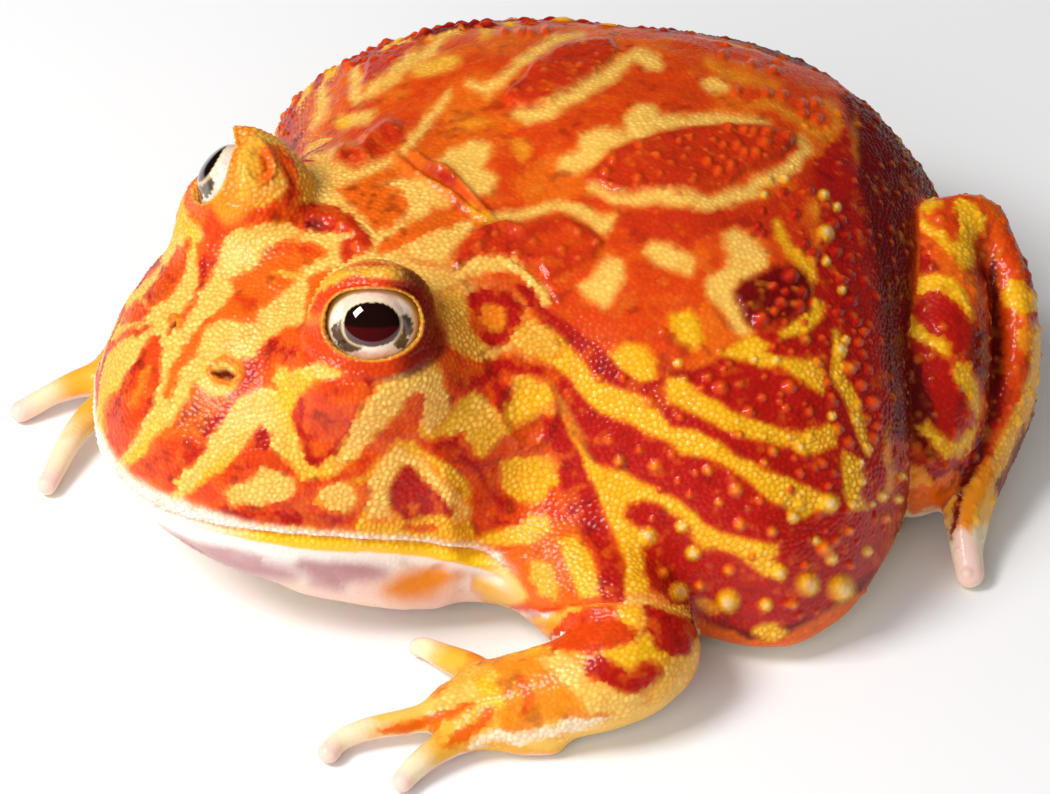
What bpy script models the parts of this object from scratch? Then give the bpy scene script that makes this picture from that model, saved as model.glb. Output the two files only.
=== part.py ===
"""Argentine horned frog at rest, a still life-size model in separate solids.

The frog faces -Y and +X is its own left. The floor is z = 0. Sizes below are in millimetres and
meshes are in metres. The trunk is modelled whole and parted by thin cuts at the mouth and neck;
each limb piece is cut back to a thin gap from what it grows from. At the end the whole frog is
moved so that the origin lies on the floor under the middle of its bounding box.
"""

import math
import random

import bmesh
import bpy
from mathutils import Matrix, Vector
from mathutils.bvhtree import BVHTree

MM = 0.001
GAP = 0.3
CUT = 0.35

# Head: the jaw's outline is half an ellipse seen from above, and the crown rises behind the snout.
JAW_HALF_WIDTH = 27.5
JAW_LENGTH = 34.8
JAW_CORNER_Y = -17.0
LIP_FRONT_Z = 15.2
LIP_SLOPE = 0.131
LIP_BULGE = 0.7
LIP_BULGE_HEIGHT = 2.2
JAW_DEPTH = 13.4
JAW_LOWEST_Z = 0.6
HEAD_TOP_POWER = 2.45
THROAT_POWER = (2.5, 6.0)
HEAD_BACK_Y = -3.0
CHEST_FRONT_Y = -26.0
CROWN_HEIGHT = ((-52, 21.5), (-46, 21.8), (-41, 22.4), (-35, 23.2), (-28, 24.2), (-20, 25.6),
                (-10, 26.4), (0, 26))

# Torso: knots along the body from its hidden front end (0) to the rump (1).
TORSO_FRONT_Y = -27.0
TORSO_REAR_Y = 50.4
TORSO_HALF_WIDTH = ((0, 0), (0.195, 19), (0.26, 30.8), (0.313, 39.4), (0.36, 46), (0.405, 50.4),
                    (0.448, 51.4), (0.49, 51), (0.574, 46), (0.663, 34.5), (0.771, 26), (0.88, 17.5), (1, 0))
TORSO_TOP = ((0, 20), (0.195, 33.2), (0.313, 36.8), (0.405, 38.3), (0.49, 39.3), (0.574, 38.4),
             (0.663, 36.2), (0.771, 31.4), (0.88, 26.4), (1, 20))
TORSO_LOW = ((0, 12), (0.195, 3), (0.313, 0), (0.405, -0.8), (0.58, -0.8), (0.7, -0.3), (0.85, 3),
             (1, 14))
TORSO_WIDEST_Z = ((0, 18), (0.26, 12), (0.36, 6), (0.45, 5.4), (0.57, 9.5), (0.66, 12.5), (0.8, 13.5),
                  (1, 20))
TORSO_TOP_POWER = 2.08
TORSO_LOW_POWER = 3.3

# Eyes: ball, lid dome and the small horn on each upper lid.
EYE_CENTRE = Vector((14.0, -28.7, 36.2))
EYE_DRAWN_IN = {"left": 0.0, "right": 1.3}
EYE_RADIUS = 5.5
EYE_AXIS = Vector((0.80, -0.38, 0.46)).normalized()
LID_RADIUS = 6.9
LID_AXIS = Vector((0.86, -0.36, 0.36)).normalized()
LID_EDGE = 2.2
LID_MARGIN_OUT = 0.9
LID_MARGIN_RADIUS = 5.5
LID_SIDES = 20
LID_STATIONS = 8
HORN_ROOT = Vector((15.4, -27.0, 40.0))
HORN_TIP = Vector((15.8, -26.6, 44.6))
HORN_HALF_LENGTH = 2.7
HORN_HALF_THICKNESS = 1.2

NOSTRIL = Vector((5.7, -42.0, 29.2))
NOSTRIL_AXIS = Vector((0.62, -0.62, 0.48)).normalized()
NOSTRIL_HALF_LENGTH = 1.3
NOSTRIL_HALF_HEIGHT = 0.75
NOSTRIL_DEPTH = 2.6

EAR_CENTRE = Vector((25.2, -16.6, 24.0))
EAR_RADIUS = 2.9
EAR_HALF_THICKNESS = 1.3

# Tubercles: low round warts, thickest along the rear of each flank. Density is out of 1.
TUBERCLE_SIDES = 5
TUBERCLE_RADII = (0.75, 1.25)
TUBERCLE_HEIGHT = 0.85
TUBERCLE_SINK = 0.7
TUBERCLE_SPACING = 3.4
TUBERCLE_CLEARANCE = 2.6
TORSO_TUBERCLES = 72
HEAD_TUBERCLES = 10
LIMB_TUBERCLES = {"shank_left": 6, "shank_right": 6, "forearm_left": 5, "forearm_right": 5}
SEED = 7

TRUNK_RING = 32
CAP_ANGLES = (35, 70)


def spline(knots, t):
    """Value at t of a smooth curve through (t, value) knots."""
    last = len(knots) - 1
    i = 0
    while i < last - 1 and t > knots[i + 1][0]:
        i += 1

    def slope(k):
        low, high = max(k - 1, 0), min(k + 1, last)
        return (knots[high][1] - knots[low][1]) / (knots[high][0] - knots[low][0])

    t0, v0 = knots[i]
    t1, v1 = knots[i + 1]
    span = t1 - t0
    s = (t - t0) / span
    return (v0 * (2 * s**3 - 3 * s**2 + 1) + v1 * (3 * s**2 - 2 * s**3)
            + slope(i) * span * (s**3 - 2 * s**2 + s) + slope(i + 1) * span * (s**3 - s**2))


def lip_z(y):
    return LIP_FRONT_Z - (y + JAW_LENGTH - JAW_CORNER_Y) * LIP_SLOPE


def section(y, half_width, low, widest, top, top_power, low_power, lip=0.0):
    """One cross-section of the trunk: a superellipse with its own upper and lower half."""
    ring = []
    for i in range(TRUNK_RING):
        turn = 2 * math.pi * i / TRUNK_RING
        c, s = math.cos(turn), math.sin(turn)
        power = 2 / (top_power if s >= 0 else low_power)
        height = top - widest if s >= 0 else widest - low
        rise = height * math.copysign(abs(s) ** power, s)
        reach = half_width * abs(c) ** power + lip * math.exp(-(rise / LIP_BULGE_HEIGHT) ** 2)
        ring.append(Vector((math.copysign(reach, c) if abs(c) > 1e-6 else 0.0, y, widest + rise)))
    return ring


def closed_mesh(name, rings):
    """A closed tube of quads through the rings, each end closed by a fan."""
    bm = bmesh.new()
    loops = [[bm.verts.new(p * MM) for p in ring] for ring in rings]
    for a, b in zip(loops, loops[1:]):
        for i in range(len(a)):
            j = (i + 1) % len(a)
            bm.faces.new((a[i], a[j], b[j], b[i]))
    for loop in (loops[0], loops[-1]):
        middle = bm.verts.new(sum((v.co for v in loop), Vector()) / len(loop))
        for i in range(len(loop)):
            bm.faces.new((loop[i], loop[(i + 1) % len(loop)], middle))
    bmesh.ops.recalc_face_normals(bm, faces=bm.faces)
    mesh = bpy.data.meshes.new(name)
    bm.to_mesh(mesh)
    bm.free()
    return mesh


def add(name, rings):
    obj = bpy.data.objects.new(name, closed_mesh(name, rings))
    bpy.context.scene.collection.objects.link(obj)
    return obj


def grown(obj, by=GAP):
    """A cutter: a copy of obj, moved outwards along its normals."""
    copy = obj.copy()
    copy.data = obj.data.copy()
    copy.name = obj.name + "_cutter"
    bpy.context.scene.collection.objects.link(copy)
    normals = [v.normal.copy() for v in copy.data.vertices]
    for v, n in zip(copy.data.vertices, normals):
        v.co += n * by * MM
    return copy


def discard(*objects):
    for obj in objects:
        bpy.data.objects.remove(obj)


def boolean(obj, others, operation, solver="EXACT"):
    """Applies one Boolean of obj with a collection of closed meshes."""
    group = bpy.data.collections.new("operands")
    for other in others:
        group.objects.link(other)
    modifier = obj.modifiers.new("boolean", "BOOLEAN")
    modifier.operation = operation
    modifier.operand_type = "COLLECTION"
    modifier.collection = group
    modifier.solver = solver
    graph = bpy.context.evaluated_depsgraph_get()
    made = bpy.data.meshes.new_from_object(obj.evaluated_get(graph), depsgraph=graph)
    obj.modifiers.remove(modifier)
    obj.data = made
    bpy.data.collections.remove(group)


def loose_parts(mesh):
    """The mesh's separate closed surfaces, each as a new bmesh, largest volume first."""
    whole = bmesh.new()
    whole.from_mesh(mesh)
    bmesh.ops.remove_doubles(whole, verts=whole.verts, dist=1e-6)
    whole.verts.index_update()
    left = set(whole.verts)
    parts = []
    while left:
        start = left.pop()
        island, stack = {start}, [start]
        while stack:
            for edge in stack.pop().link_edges:
                for v in edge.verts:
                    if v not in island:
                        island.add(v)
                        stack.append(v)
        left -= island
        part = whole.copy()
        part.verts.ensure_lookup_table()
        keep = {v.index for v in island}
        bmesh.ops.delete(part, geom=[v for v in part.verts if v.index not in keep], context="VERTS")
        parts.append(part)
    whole.free()
    return sorted(parts, key=lambda bm: -bm.calc_volume())


def keep_largest(obj):
    parts = loose_parts(obj.data)
    parts[0].to_mesh(obj.data)
    for bm in parts:
        bm.free()


def trim(obj, cutters):
    """Cuts obj back from its cutters and the floor, and keeps its largest piece."""
    boolean(obj, [*cutters, bpy.data.objects["floor_cutter"]], "DIFFERENCE")
    keep_largest(obj)


def box(name, low, high):
    ring_at = [[Vector((x, y, z)) for x, z in ((low[0], low[2]), (high[0], low[2]), (high[0], high[2]),
                                               (low[0], high[2]))] for y in (low[1], high[1])]
    return add(name, ring_at)


def strip(name, line, thickness, half_width=80.0):
    """A thin slab across X that follows a line of (y, z) points: the kerf of a cut."""
    points = [Vector((0, y, z)) for y, z in line]
    sides = []
    for i, p in enumerate(points):
        way = (points[min(i + 1, len(points) - 1)] - points[max(i - 1, 0)]).normalized()
        across = Vector((0, -way.z, way.y)) * thickness / 2
        sides.append((p + across, p - across))
    outline = [a for a, _ in sides] + [b for _, b in reversed(sides)]
    bm = bmesh.new()
    ends = [[bm.verts.new((p + Vector((x, 0, 0))) * MM) for p in outline] for x in (-half_width, half_width)]
    count = len(points)
    for a, b in zip(ends[0], ends[0][1:] + ends[0][:1]):
        i, j = ends[0].index(a), ends[0].index(b)
        bm.faces.new((a, b, ends[1][j], ends[1][i]))
    for end in ends:
        for i in range(count - 1):
            bm.faces.new((end[i], end[i + 1], end[2 * count - 2 - i], end[2 * count - 1 - i]))
    bmesh.ops.recalc_face_normals(bm, faces=bm.faces)
    mesh = bpy.data.meshes.new(name)
    bm.to_mesh(mesh)
    bm.free()
    obj = bpy.data.objects.new(name, mesh)
    bpy.context.scene.collection.objects.link(obj)
    return obj


def torso_rings():
    rings = []
    stations = 22
    middle = (TORSO_FRONT_Y + TORSO_REAR_Y) / 2
    reach = (TORSO_REAR_Y - TORSO_FRONT_Y) / 2
    for k in range(1, stations):
        u = k / stations
        rings.append(section(middle - reach * math.cos(math.pi * u), spline(TORSO_HALF_WIDTH, u),
                             spline(TORSO_LOW, u), spline(TORSO_WIDEST_Z, u), spline(TORSO_TOP, u),
                             TORSO_TOP_POWER, TORSO_LOW_POWER))
    return rings


def head_rings():
    rings = []
    front_stations = 12
    for k in range(1, front_stations + 1):
        turn = math.pi / 2 * k / front_stations
        y = JAW_CORNER_Y - JAW_LENGTH * math.cos(turn)
        s = math.sin(turn)
        lip = lip_z(y)
        throat = THROAT_POWER[0] + (THROAT_POWER[1] - THROAT_POWER[0]) * s**4
        rings.append(section(y, JAW_HALF_WIDTH * s, max(lip - JAW_DEPTH * s**0.8, JAW_LOWEST_Z), lip,
                             lip + spline(CROWN_HEIGHT, y) * s, HEAD_TOP_POWER, throat, LIP_BULGE))
    for y in (-13.0, -8.0, HEAD_BACK_Y):
        lip = lip_z(y)
        rings.append(section(y, JAW_HALF_WIDTH, JAW_LOWEST_Z, lip, lip + spline(CROWN_HEIGHT, y),
                             HEAD_TOP_POWER, THROAT_POWER[1]))
    return rings


def ball_rings(centre, radii, axes, count=20, stations=10, last_turn=math.pi):
    """Rings of an ellipsoid along its third axis; last_turn under pi cuts it off flat."""
    x, y, z = axes
    rings = []
    for k in range(1, stations + (last_turn < math.pi)):
        turn = last_turn * k / stations
        reach = math.sin(turn)
        rings.append([centre - z * radii[2] * math.cos(turn)
                      + x * radii[0] * reach * math.cos(2 * math.pi * i / count)
                      + y * radii[1] * reach * math.sin(2 * math.pi * i / count) for i in range(count)])
    return rings


def axes_along(way):
    """Three axes: across and level, across and rising, and along way."""
    side = Vector((0, 0, 1)).cross(way)
    side = side.normalized() if side.length > 1e-3 else Vector((1, 0, 0))
    return side, way.cross(side), way


def tube_rings(path, count=14, stations=12):
    """Rings round a smooth path of (x, y, z, half width, half height) knots, round at both ends."""
    last = len(path) - 1
    knots = [[(i / last, row[k]) for i, row in enumerate(path)] for k in range(5)]
    frames = []
    for k in range(stations + 1):
        t = k / stations
        here, ahead, behind = (Vector([spline(knots[a], min(max(t + d, 0), 1)) for a in range(3)])
                               for d in (0, 0.01, -0.01))
        side, rise, way = axes_along((ahead - behind).normalized())
        frames.append((here, way, side, rise, spline(knots[3], t), spline(knots[4], t)))

    def cap(frame, sign):
        here, way, side, rise, wide, high = frame
        low = min(wide, high)
        ends = []
        for degrees in CAP_ANGLES:
            a = math.radians(degrees)
            ends.append((here + way * sign * low * math.sin(a), way, side, rise,
                         wide * math.cos(a), high * math.cos(a)))
        return ends

    frames = cap(frames[0], -1)[::-1] + frames + cap(frames[-1], 1)
    return [[here + side * wide * math.cos(2 * math.pi * i / count)
             + rise * high * math.sin(2 * math.pi * i / count) for i in range(count)]
            for here, way, side, rise, wide, high in frames]


# Limb paths: (x, y, z, half width, half height) for the frog's left side, and for its right side with
# x still counted outwards. The right limbs are tucked a little closer than the left ones.
ARMS = {
    "left": {
        "upper_arm": [(25, -13, 8, 10, 8), (33, -14, 8.4, 8.8, 7.6),
                      (41, -14.8, 7.8, 7.2, 7), (46, -15.4, 6.8, 6.2, 6.2)],
        "forearm": [(47.6, -14.8, 6.4, 5.8, 5.8), (48, -18.2, 6.3, 6.2, 6.1),
                    (46.2, -23.4, 5.4, 5.8, 5.2), (43.3, -28.6, 4.1, 4.8, 4)],
        "hand": [(44.4, -27.2, 3.8, 4.6, 3.6), (41.5, -32.2, 3.2, 5.2, 3.1),
                 (39.6, -35.6, 2.4, 4.2, 2.3)],
        "fingers": [
            [(40.5, -31.6, 2.9, 2.6, 2.3), (34.5, -31.4, 2.5, 2.0, 2.0), (28.9, -31.3, 1.5, 1.65, 1.6)],
            [(40.0, -34.0, 2.8, 2.6, 2.3), (38.7, -42.0, 3.4, 2.0, 2.0), (36.9, -48.4, 1.5, 1.65, 1.6)],
            [(42.6, -33.6, 2.7, 2.5, 2.2), (44.3, -39.5, 2.9, 2.0, 2.0), (45.0, -44.8, 1.5, 1.65, 1.6)],
            [(44.4, -32.4, 2.3, 2.2, 1.9), (46.6, -31.0, 1.8, 1.8, 1.7), (48.2, -28.6, 1.4, 1.5, 1.5)],
        ],
    },
    "right": {
        "upper_arm": [(22, -12, 8.5, 9.5, 8), (29, -12.6, 8.6, 8.4, 7.4),
                      (34, -12.6, 7.8, 6.8, 6.8), (37, -13, 6.8, 6, 6)],
        "forearm": [(38.6, -12, 6.4, 5.6, 5.8), (38.6, -16, 6.3, 6, 6),
                    (35.8, -22.4, 5.4, 5.6, 5.2), (32.2, -28.6, 4.1, 4.6, 3.9)],
        "hand": [(33.4, -27.2, 3.8, 4.5, 3.6), (30.6, -32.2, 3.2, 5.0, 3.1),
                 (28.8, -35.8, 2.4, 4.0, 2.3)],
        "fingers": [
            [(28.4, -35.4, 2.8, 2.5, 2.3), (25.0, -44.0, 3.2, 2.0, 2.0), (19.6, -51.6, 1.5, 1.65, 1.6)],
            [(31.0, -34.4, 2.8, 2.5, 2.3), (32.4, -41.5, 3.0, 2.0, 2.0), (33.0, -47.4, 1.5, 1.65, 1.6)],
            [(33.0, -32.6, 2.5, 2.2, 2.0), (35.8, -30.6, 2.3, 1.9, 1.8), (38.2, -27.0, 1.5, 1.6, 1.5)],
            [(34.2, -30.0, 2.3, 2.2, 1.9), (37.0, -26.0, 1.8, 1.7, 1.6), (38.6, -22.2, 1.4, 1.5, 1.5)],
        ],
    },
}
LEGS = {
    "left": {
        "thigh": [(10, 30, 17, 9, 10), (18, 32, 17, 9, 10.5),
                  (27, 29, 14, 8.5, 10), (35.5, 24.5, 9.5, 7, 8)],
        "shank": [(40.2, 26.6, 8.2, 5.2, 7), (36.6, 32, 11, 5.8, 7.8),
                  (30, 38, 15.6, 5.9, 8), (21.5, 43.8, 20.4, 5, 6.2)],
        "foot": [(22.4, 49.6, 20.4, 3.1, 4.6), (30.4, 48, 15.6, 2.8, 4.8),
                 (37.4, 43.2, 9.6, 2.8, 4.8), (42, 35.4, 5.2, 2.6, 3.8)],
        "toes": [
            [(39.6, 38.8, 4.6, 1.7, 1.8), (41.6, 36.0, 2.6, 1.5, 1.6), (43.2, 33.8, 1.4, 1.3, 1.3)],
            [(42.6, 35.4, 3.6, 1.7, 1.8), (44.6, 32.6, 2.4, 1.5, 1.6), (46.2, 30.4, 1.4, 1.3, 1.3)],
            [(44.2, 33.6, 4.4, 1.8, 2.0), (47.2, 30.2, 3.0, 1.7, 1.8), (49.6, 27.6, 1.5, 1.5, 1.5)],
            [(43.8, 33.2, 6.0, 2.2, 2.4), (47.6, 28.4, 4.4, 1.9, 2.1), (52.4, 25.6, 1.6, 1.65, 1.6)],
            [(42.2, 33.6, 7.0, 1.9, 2.0), (44.2, 31.0, 5.4, 1.6, 1.7), (46.4, 28.8, 3.6, 1.4, 1.4)],
        ],
    },
    "right": {
        "thigh": [(10, 30, 13.5, 9, 9), (18, 31, 13, 9, 9.5),
                  (27, 28, 11.5, 8.5, 9), (35.5, 23.5, 9, 7, 7.8)],
        "shank": [(40.2, 25.4, 7.8, 5.2, 7), (37, 31, 9, 5.8, 7.6),
                  (30.6, 36.6, 10.6, 5.8, 7.4), (22.4, 42, 12, 5, 5.8)],
        "foot": [(23, 47, 11.4, 3, 4.2), (30.8, 44.8, 9, 2.7, 4.6),
                 (37.6, 40.2, 6.8, 2.6, 4.6), (42.6, 33.4, 4.8, 2.6, 3.7)],
        "toes": [
            [(41.8, 33.2, 4.0, 1.7, 1.8), (44.2, 30.6, 2.4, 1.5, 1.6), (45.8, 28.4, 1.4, 1.3, 1.3)],
            [(44.6, 29.8, 3.4, 1.7, 1.8), (46.8, 27.0, 2.2, 1.5, 1.6), (48.4, 24.8, 1.4, 1.3, 1.3)],
            [(46.0, 28.0, 4.0, 1.8, 2.0), (49.4, 24.2, 2.8, 1.7, 1.8), (51.8, 21.4, 1.5, 1.5, 1.5)],
            [(46.2, 27.8, 5.6, 2.2, 2.4), (51.4, 22.6, 4.2, 2.0, 2.2), (55.0, 17.2, 1.7, 1.7, 1.7)],
            [(44.6, 28.4, 6.6, 1.9, 2.0), (49.2, 22.6, 4.6, 1.7, 1.8), (51.6, 16.8, 1.5, 1.5, 1.5)],
        ],
    },
}

MATERIALS = {
    "skin_back": ((0.86, 0.30, 0.05), 0.38),
    "skin_pale": ((0.93, 0.78, 0.66), 0.42),
    "skin_horn": ((0.93, 0.62, 0.10), 0.40),
    "eye": ((0.12, 0.04, 0.03), 0.08),
    "ear_drum": ((0.78, 0.45, 0.08), 0.40),
}


def outwards(path, side):
    sign = 1 if side == "left" else -1
    return [(sign * row[0], *row[1:]) for row in path]


def flipped(point, side):
    return Vector((point.x if side == "left" else -point.x, point.y, point.z))


def finish(obj, slot):
    """Gives the solid its material and smooth shading."""
    colour, roughness = MATERIALS[slot]
    material = bpy.data.materials.get(slot) or bpy.data.materials.new(slot)
    material.use_nodes = True
    shader = material.node_tree.nodes["Principled BSDF"]
    shader.inputs["Base Color"].default_value = (*colour, 1)
    shader.inputs["Roughness"].default_value = roughness
    shader.inputs["Metallic"].default_value = 0.0
    obj.data.materials.clear()
    obj.data.materials.append(material)
    obj.data.shade_smooth()


def make_trunk():
    """Head, lower jaw and torso: one body with lids, sockets and nostrils, parted by two cuts."""
    torso = add("torso", torso_rings())
    head = add("head_form", head_rings())
    grown_trunk = [grown(torso), grown(head)]
    lids, pits, balls = [], [], []
    for side in ("left", "right"):
        lids.append(add("lid_" + side, lid_rings(side)))
        balls.append(add("socket_" + side, ball_rings(eye_centre(side), [EYE_RADIUS + GAP] * 3,
                                                      axes_along(flipped(EYE_AXIS, side)), 20, 10)))
        pits.append(add("nostril_" + side, ball_rings(
            flipped(NOSTRIL, side), (NOSTRIL_HALF_LENGTH, NOSTRIL_HALF_HEIGHT, NOSTRIL_DEPTH),
            axes_along(flipped(NOSTRIL_AXIS, side)), 10, 6)))
        pits.append(add("ear_recess_" + side, ball_rings(
            flipped(EAR_CENTRE, side), (EAR_RADIUS + GAP, EAR_RADIUS + GAP, EAR_HALF_THICKNESS + GAP),
            axes_along(ear_axis(side)), 16, 8)))
    boolean(torso, [head, *lids], "UNION")
    mouth = strip("mouth_cut", [(-70, lip_z(-70)), (JAW_CORNER_Y, lip_z(JAW_CORNER_Y))], CUT)
    neck = strip("neck_cut", [(-8.6, 46.0), (JAW_CORNER_Y, lip_z(JAW_CORNER_Y)),
                               (CHEST_FRONT_Y, -6)], CUT)
    boolean(torso, [*balls, *pits, mouth, neck, bpy.data.objects["floor_cutter"]], "DIFFERENCE")
    discard(head, *lids, *balls, *pits, mouth, neck)
    parts = loose_parts(torso.data)
    parts[0].to_mesh(torso.data)
    for name, bm in zip(("head", "lower_jaw"), parts[1:]):
        mesh = bpy.data.meshes.new(name)
        bm.to_mesh(mesh)
        bpy.context.scene.collection.objects.link(bpy.data.objects.new(name, mesh))
    for bm in parts:
        bm.free()
    return grown_trunk


def lid_rings(side):
    """A dome round the eyeball, open where the eye looks out, with a margin that slopes in to the ball."""
    axes = axes_along(flipped(LID_AXIS, side))
    centre = flipped(EYE_CENTRE, side)
    rings = ball_rings(centre, [LID_RADIUS] * 3, axes, LID_SIDES, LID_STATIONS,
                       math.pi - math.acos(LID_EDGE / LID_RADIUS))
    middle = centre + axes[2] * (LID_EDGE + LID_MARGIN_OUT)
    rim_radius = math.sqrt(LID_RADIUS**2 - LID_EDGE**2)
    rim_middle = centre + axes[2] * LID_EDGE
    rings.append([middle + (p - rim_middle) * LID_MARGIN_RADIUS / rim_radius for p in rings[-1]])
    return rings


def eye_centre(side):
    return flipped(EYE_CENTRE - EYE_AXIS * EYE_DRAWN_IN[side], side)


def ear_axis(side):
    return flipped(Vector((0.86, -0.10, 0.50)).normalized(), side)


def make_face(side):
    """Eyeball, horn and ear drum of one side."""
    centre = flipped(EYE_CENTRE, side)
    eye = add("eye_" + side, ball_rings(eye_centre(side), [EYE_RADIUS] * 3,
                                        axes_along(flipped(EYE_AXIS, side)), 20, 10))
    finish(eye, "eye")
    root, tip = flipped(HORN_ROOT, side), flipped(HORN_TIP, side)
    rings = []
    for k in range(6):
        share = k / 5
        taper = (1 - share) ** 0.75 + 0.06
        middle = root.lerp(tip, share)
        rings.append([middle + Vector((HORN_HALF_THICKNESS * taper * math.cos(2 * math.pi * i / 10),
                                       HORN_HALF_LENGTH * taper * math.sin(2 * math.pi * i / 10), 0))
                      for i in range(10)])
    horn = add("horn_" + side, rings)
    lid = add("lid_cutter", ball_rings(centre, [LID_RADIUS + GAP] * 3, axes_along(flipped(LID_AXIS, side)),
                                       LID_SIDES, LID_STATIONS))
    trim(horn, [lid])
    discard(lid)
    finish(horn, "skin_horn")
    ear_radii = (EAR_RADIUS, EAR_RADIUS, EAR_HALF_THICKNESS)
    ear = add("ear_" + side,
              ball_rings(flipped(EAR_CENTRE, side), ear_radii, axes_along(ear_axis(side)), 16, 8))
    finish(ear, "ear_drum")


def make_limb(pieces, side, cutters):
    """A chain of limb pieces: each is cut back from the trunk and from the pieces before it."""
    made = []
    for name, path, slot, count, stations in pieces:
        obj = add(f"{name}_{side}", tube_rings(outwards(path, side), count, stations))
        cutter = grown(obj)
        trim(obj, cutters + made)
        made.append(cutter)
        finish(obj, slot)
    discard(*made)


def scatter(obj, count, likes, chooser, others):
    """Random points on obj, at least TUBERCLE_SPACING apart and clear of the other solids."""
    mesh = obj.data
    mesh.calc_loop_triangles()
    faces = [[mesh.vertices[i].co / MM for i in t.vertices] for t in mesh.loop_triangles]
    areas = [(b - a).cross(c - a).length for a, b, c in faces]
    found = []
    for _ in range(count * 60):
        a, b, c = chooser.choices(faces, areas)[0]
        r, t = sorted((chooser.random(), chooser.random()))
        point = a * r + b * (t - r) + c * (1 - t)
        normal = (b - a).cross(c - a).normalized()
        if chooser.random() > likes(point, normal):
            continue
        if any((point - q).length < TUBERCLE_SPACING for q, _ in found):
            continue
        if min(tree.find_nearest(point * MM)[3] for tree in others) < TUBERCLE_CLEARANCE * MM:
            continue
        found.append((point, normal))
        if len(found) == count:
            break
    return found


def grow_tubercles(obj, count, likes, chooser):
    """Fuses low warts of few sides onto one solid."""
    others = [BVHTree.FromPolygons([v.co for v in o.data.vertices], [p.vertices for p in o.data.polygons])
              for o in bpy.data.objects if o not in (obj, bpy.data.objects["floor_cutter"])]
    warts = []
    for n, (point, normal) in enumerate(scatter(obj, count, likes, chooser, others)):
        radius = chooser.uniform(*TUBERCLE_RADII)
        side, rise, way = axes_along(normal)
        rings = []
        for height, share in ((-TUBERCLE_SINK, 1.05), (0.35, 0.92), (TUBERCLE_HEIGHT, 0.42)):
            middle = point + way * radius * height
            rings.append([middle + (side * math.cos(a) + rise * math.sin(a)) * radius * share
                          for a in (2 * math.pi * (i + n * 0.37) / TUBERCLE_SIDES
                                    for i in range(TUBERCLE_SIDES))])
        warts.append(add(f"wart_{n}", rings))
    boolean(obj, warts, "UNION", "MANIFOLD")
    keep_largest(obj)
    discard(*warts)


def flank_density(point, normal):
    """Warts crowd the rear of the flanks and thin out forwards; there are none below or on the midline."""
    if point.z < 5 or normal.z < -0.2 or abs(point.x) < 9:
        return 0.0
    rear = min(max((point.y + 8) / 34, 0.0), 1.0)
    side = min(abs(point.x) / 40, 1.0)
    return 0.12 + 0.88 * rear * side


def cheek_density(point, normal):
    """A few warts on the cheeks, behind and below the eyes."""
    return 1.0 if point.y > -34 and 12 < point.z < 28 and abs(point.x) > 18 and normal.z > -0.1 else 0.0


def limb_density(point, normal):
    return 1.0 if point.z > 4 and normal.z > 0 else 0.0


def move_to_origin():
    """Slides every solid so that the bounding box is centred on X = Y = 0."""
    points = [v.co for obj in bpy.data.objects for v in obj.data.vertices]
    middle = [(min(p[axis] for p in points) + max(p[axis] for p in points)) / 2 for axis in (0, 1)]
    for obj in bpy.data.objects:
        obj.data.transform(Matrix.Translation((-middle[0], -middle[1], 0)))


def main():
    for obj in list(bpy.data.objects):
        bpy.data.objects.remove(obj)
    floor = box("floor_cutter", (-200, -200, -60), (200, 200, 0))
    cutters = make_trunk()
    for side in ("left", "right"):
        make_face(side)
        arm, leg = ARMS[side], LEGS[side]
        fingers = [(f"finger_{n}", path, "skin_pale", 8, 5) for n, path in enumerate(arm["fingers"], 1)]
        toes = [(f"toe_{n}", path, "skin_pale", 8, 4) for n, path in enumerate(leg["toes"], 1)]
        make_limb([("upper_arm", arm["upper_arm"], "skin_back", 14, 6),
                   ("forearm", arm["forearm"], "skin_back", 14, 6),
                   ("hand", arm["hand"], "skin_back", 12, 4), *fingers], side, cutters)
        make_limb([("thigh", leg["thigh"], "skin_back", 14, 7), ("shank", leg["shank"], "skin_back", 14, 9),
                   ("foot", leg["foot"], "skin_back", 12, 8), *toes], side, cutters)
    discard(*cutters)
    chooser = random.Random(SEED)
    grow_tubercles(bpy.data.objects["torso"], TORSO_TUBERCLES, flank_density, chooser)
    grow_tubercles(bpy.data.objects["head"], HEAD_TUBERCLES, cheek_density, chooser)
    for name, count in LIMB_TUBERCLES.items():
        grow_tubercles(bpy.data.objects[name], count, limb_density, chooser)
    discard(floor)
    for name, slot in (("torso", "skin_back"), ("head", "skin_back"), ("lower_jaw", "skin_pale")):
        finish(bpy.data.objects[name], slot)
    move_to_origin()


main()
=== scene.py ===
"""Looks of the Argentine horned frog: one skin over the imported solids, with separate eyes.

The skin's forms are written as distance fields in millimetres, in the frog's own axes: it faces -Y,
+X is its left and the floor is z = 0. They are blended, turned into one closed mesh, and given
granules, warts and folds as real relief. Markings are strokes laid on that skin.
"""

import math

import bpy
import numpy as np
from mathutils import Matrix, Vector
from mathutils.kdtree import KDTree


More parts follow.
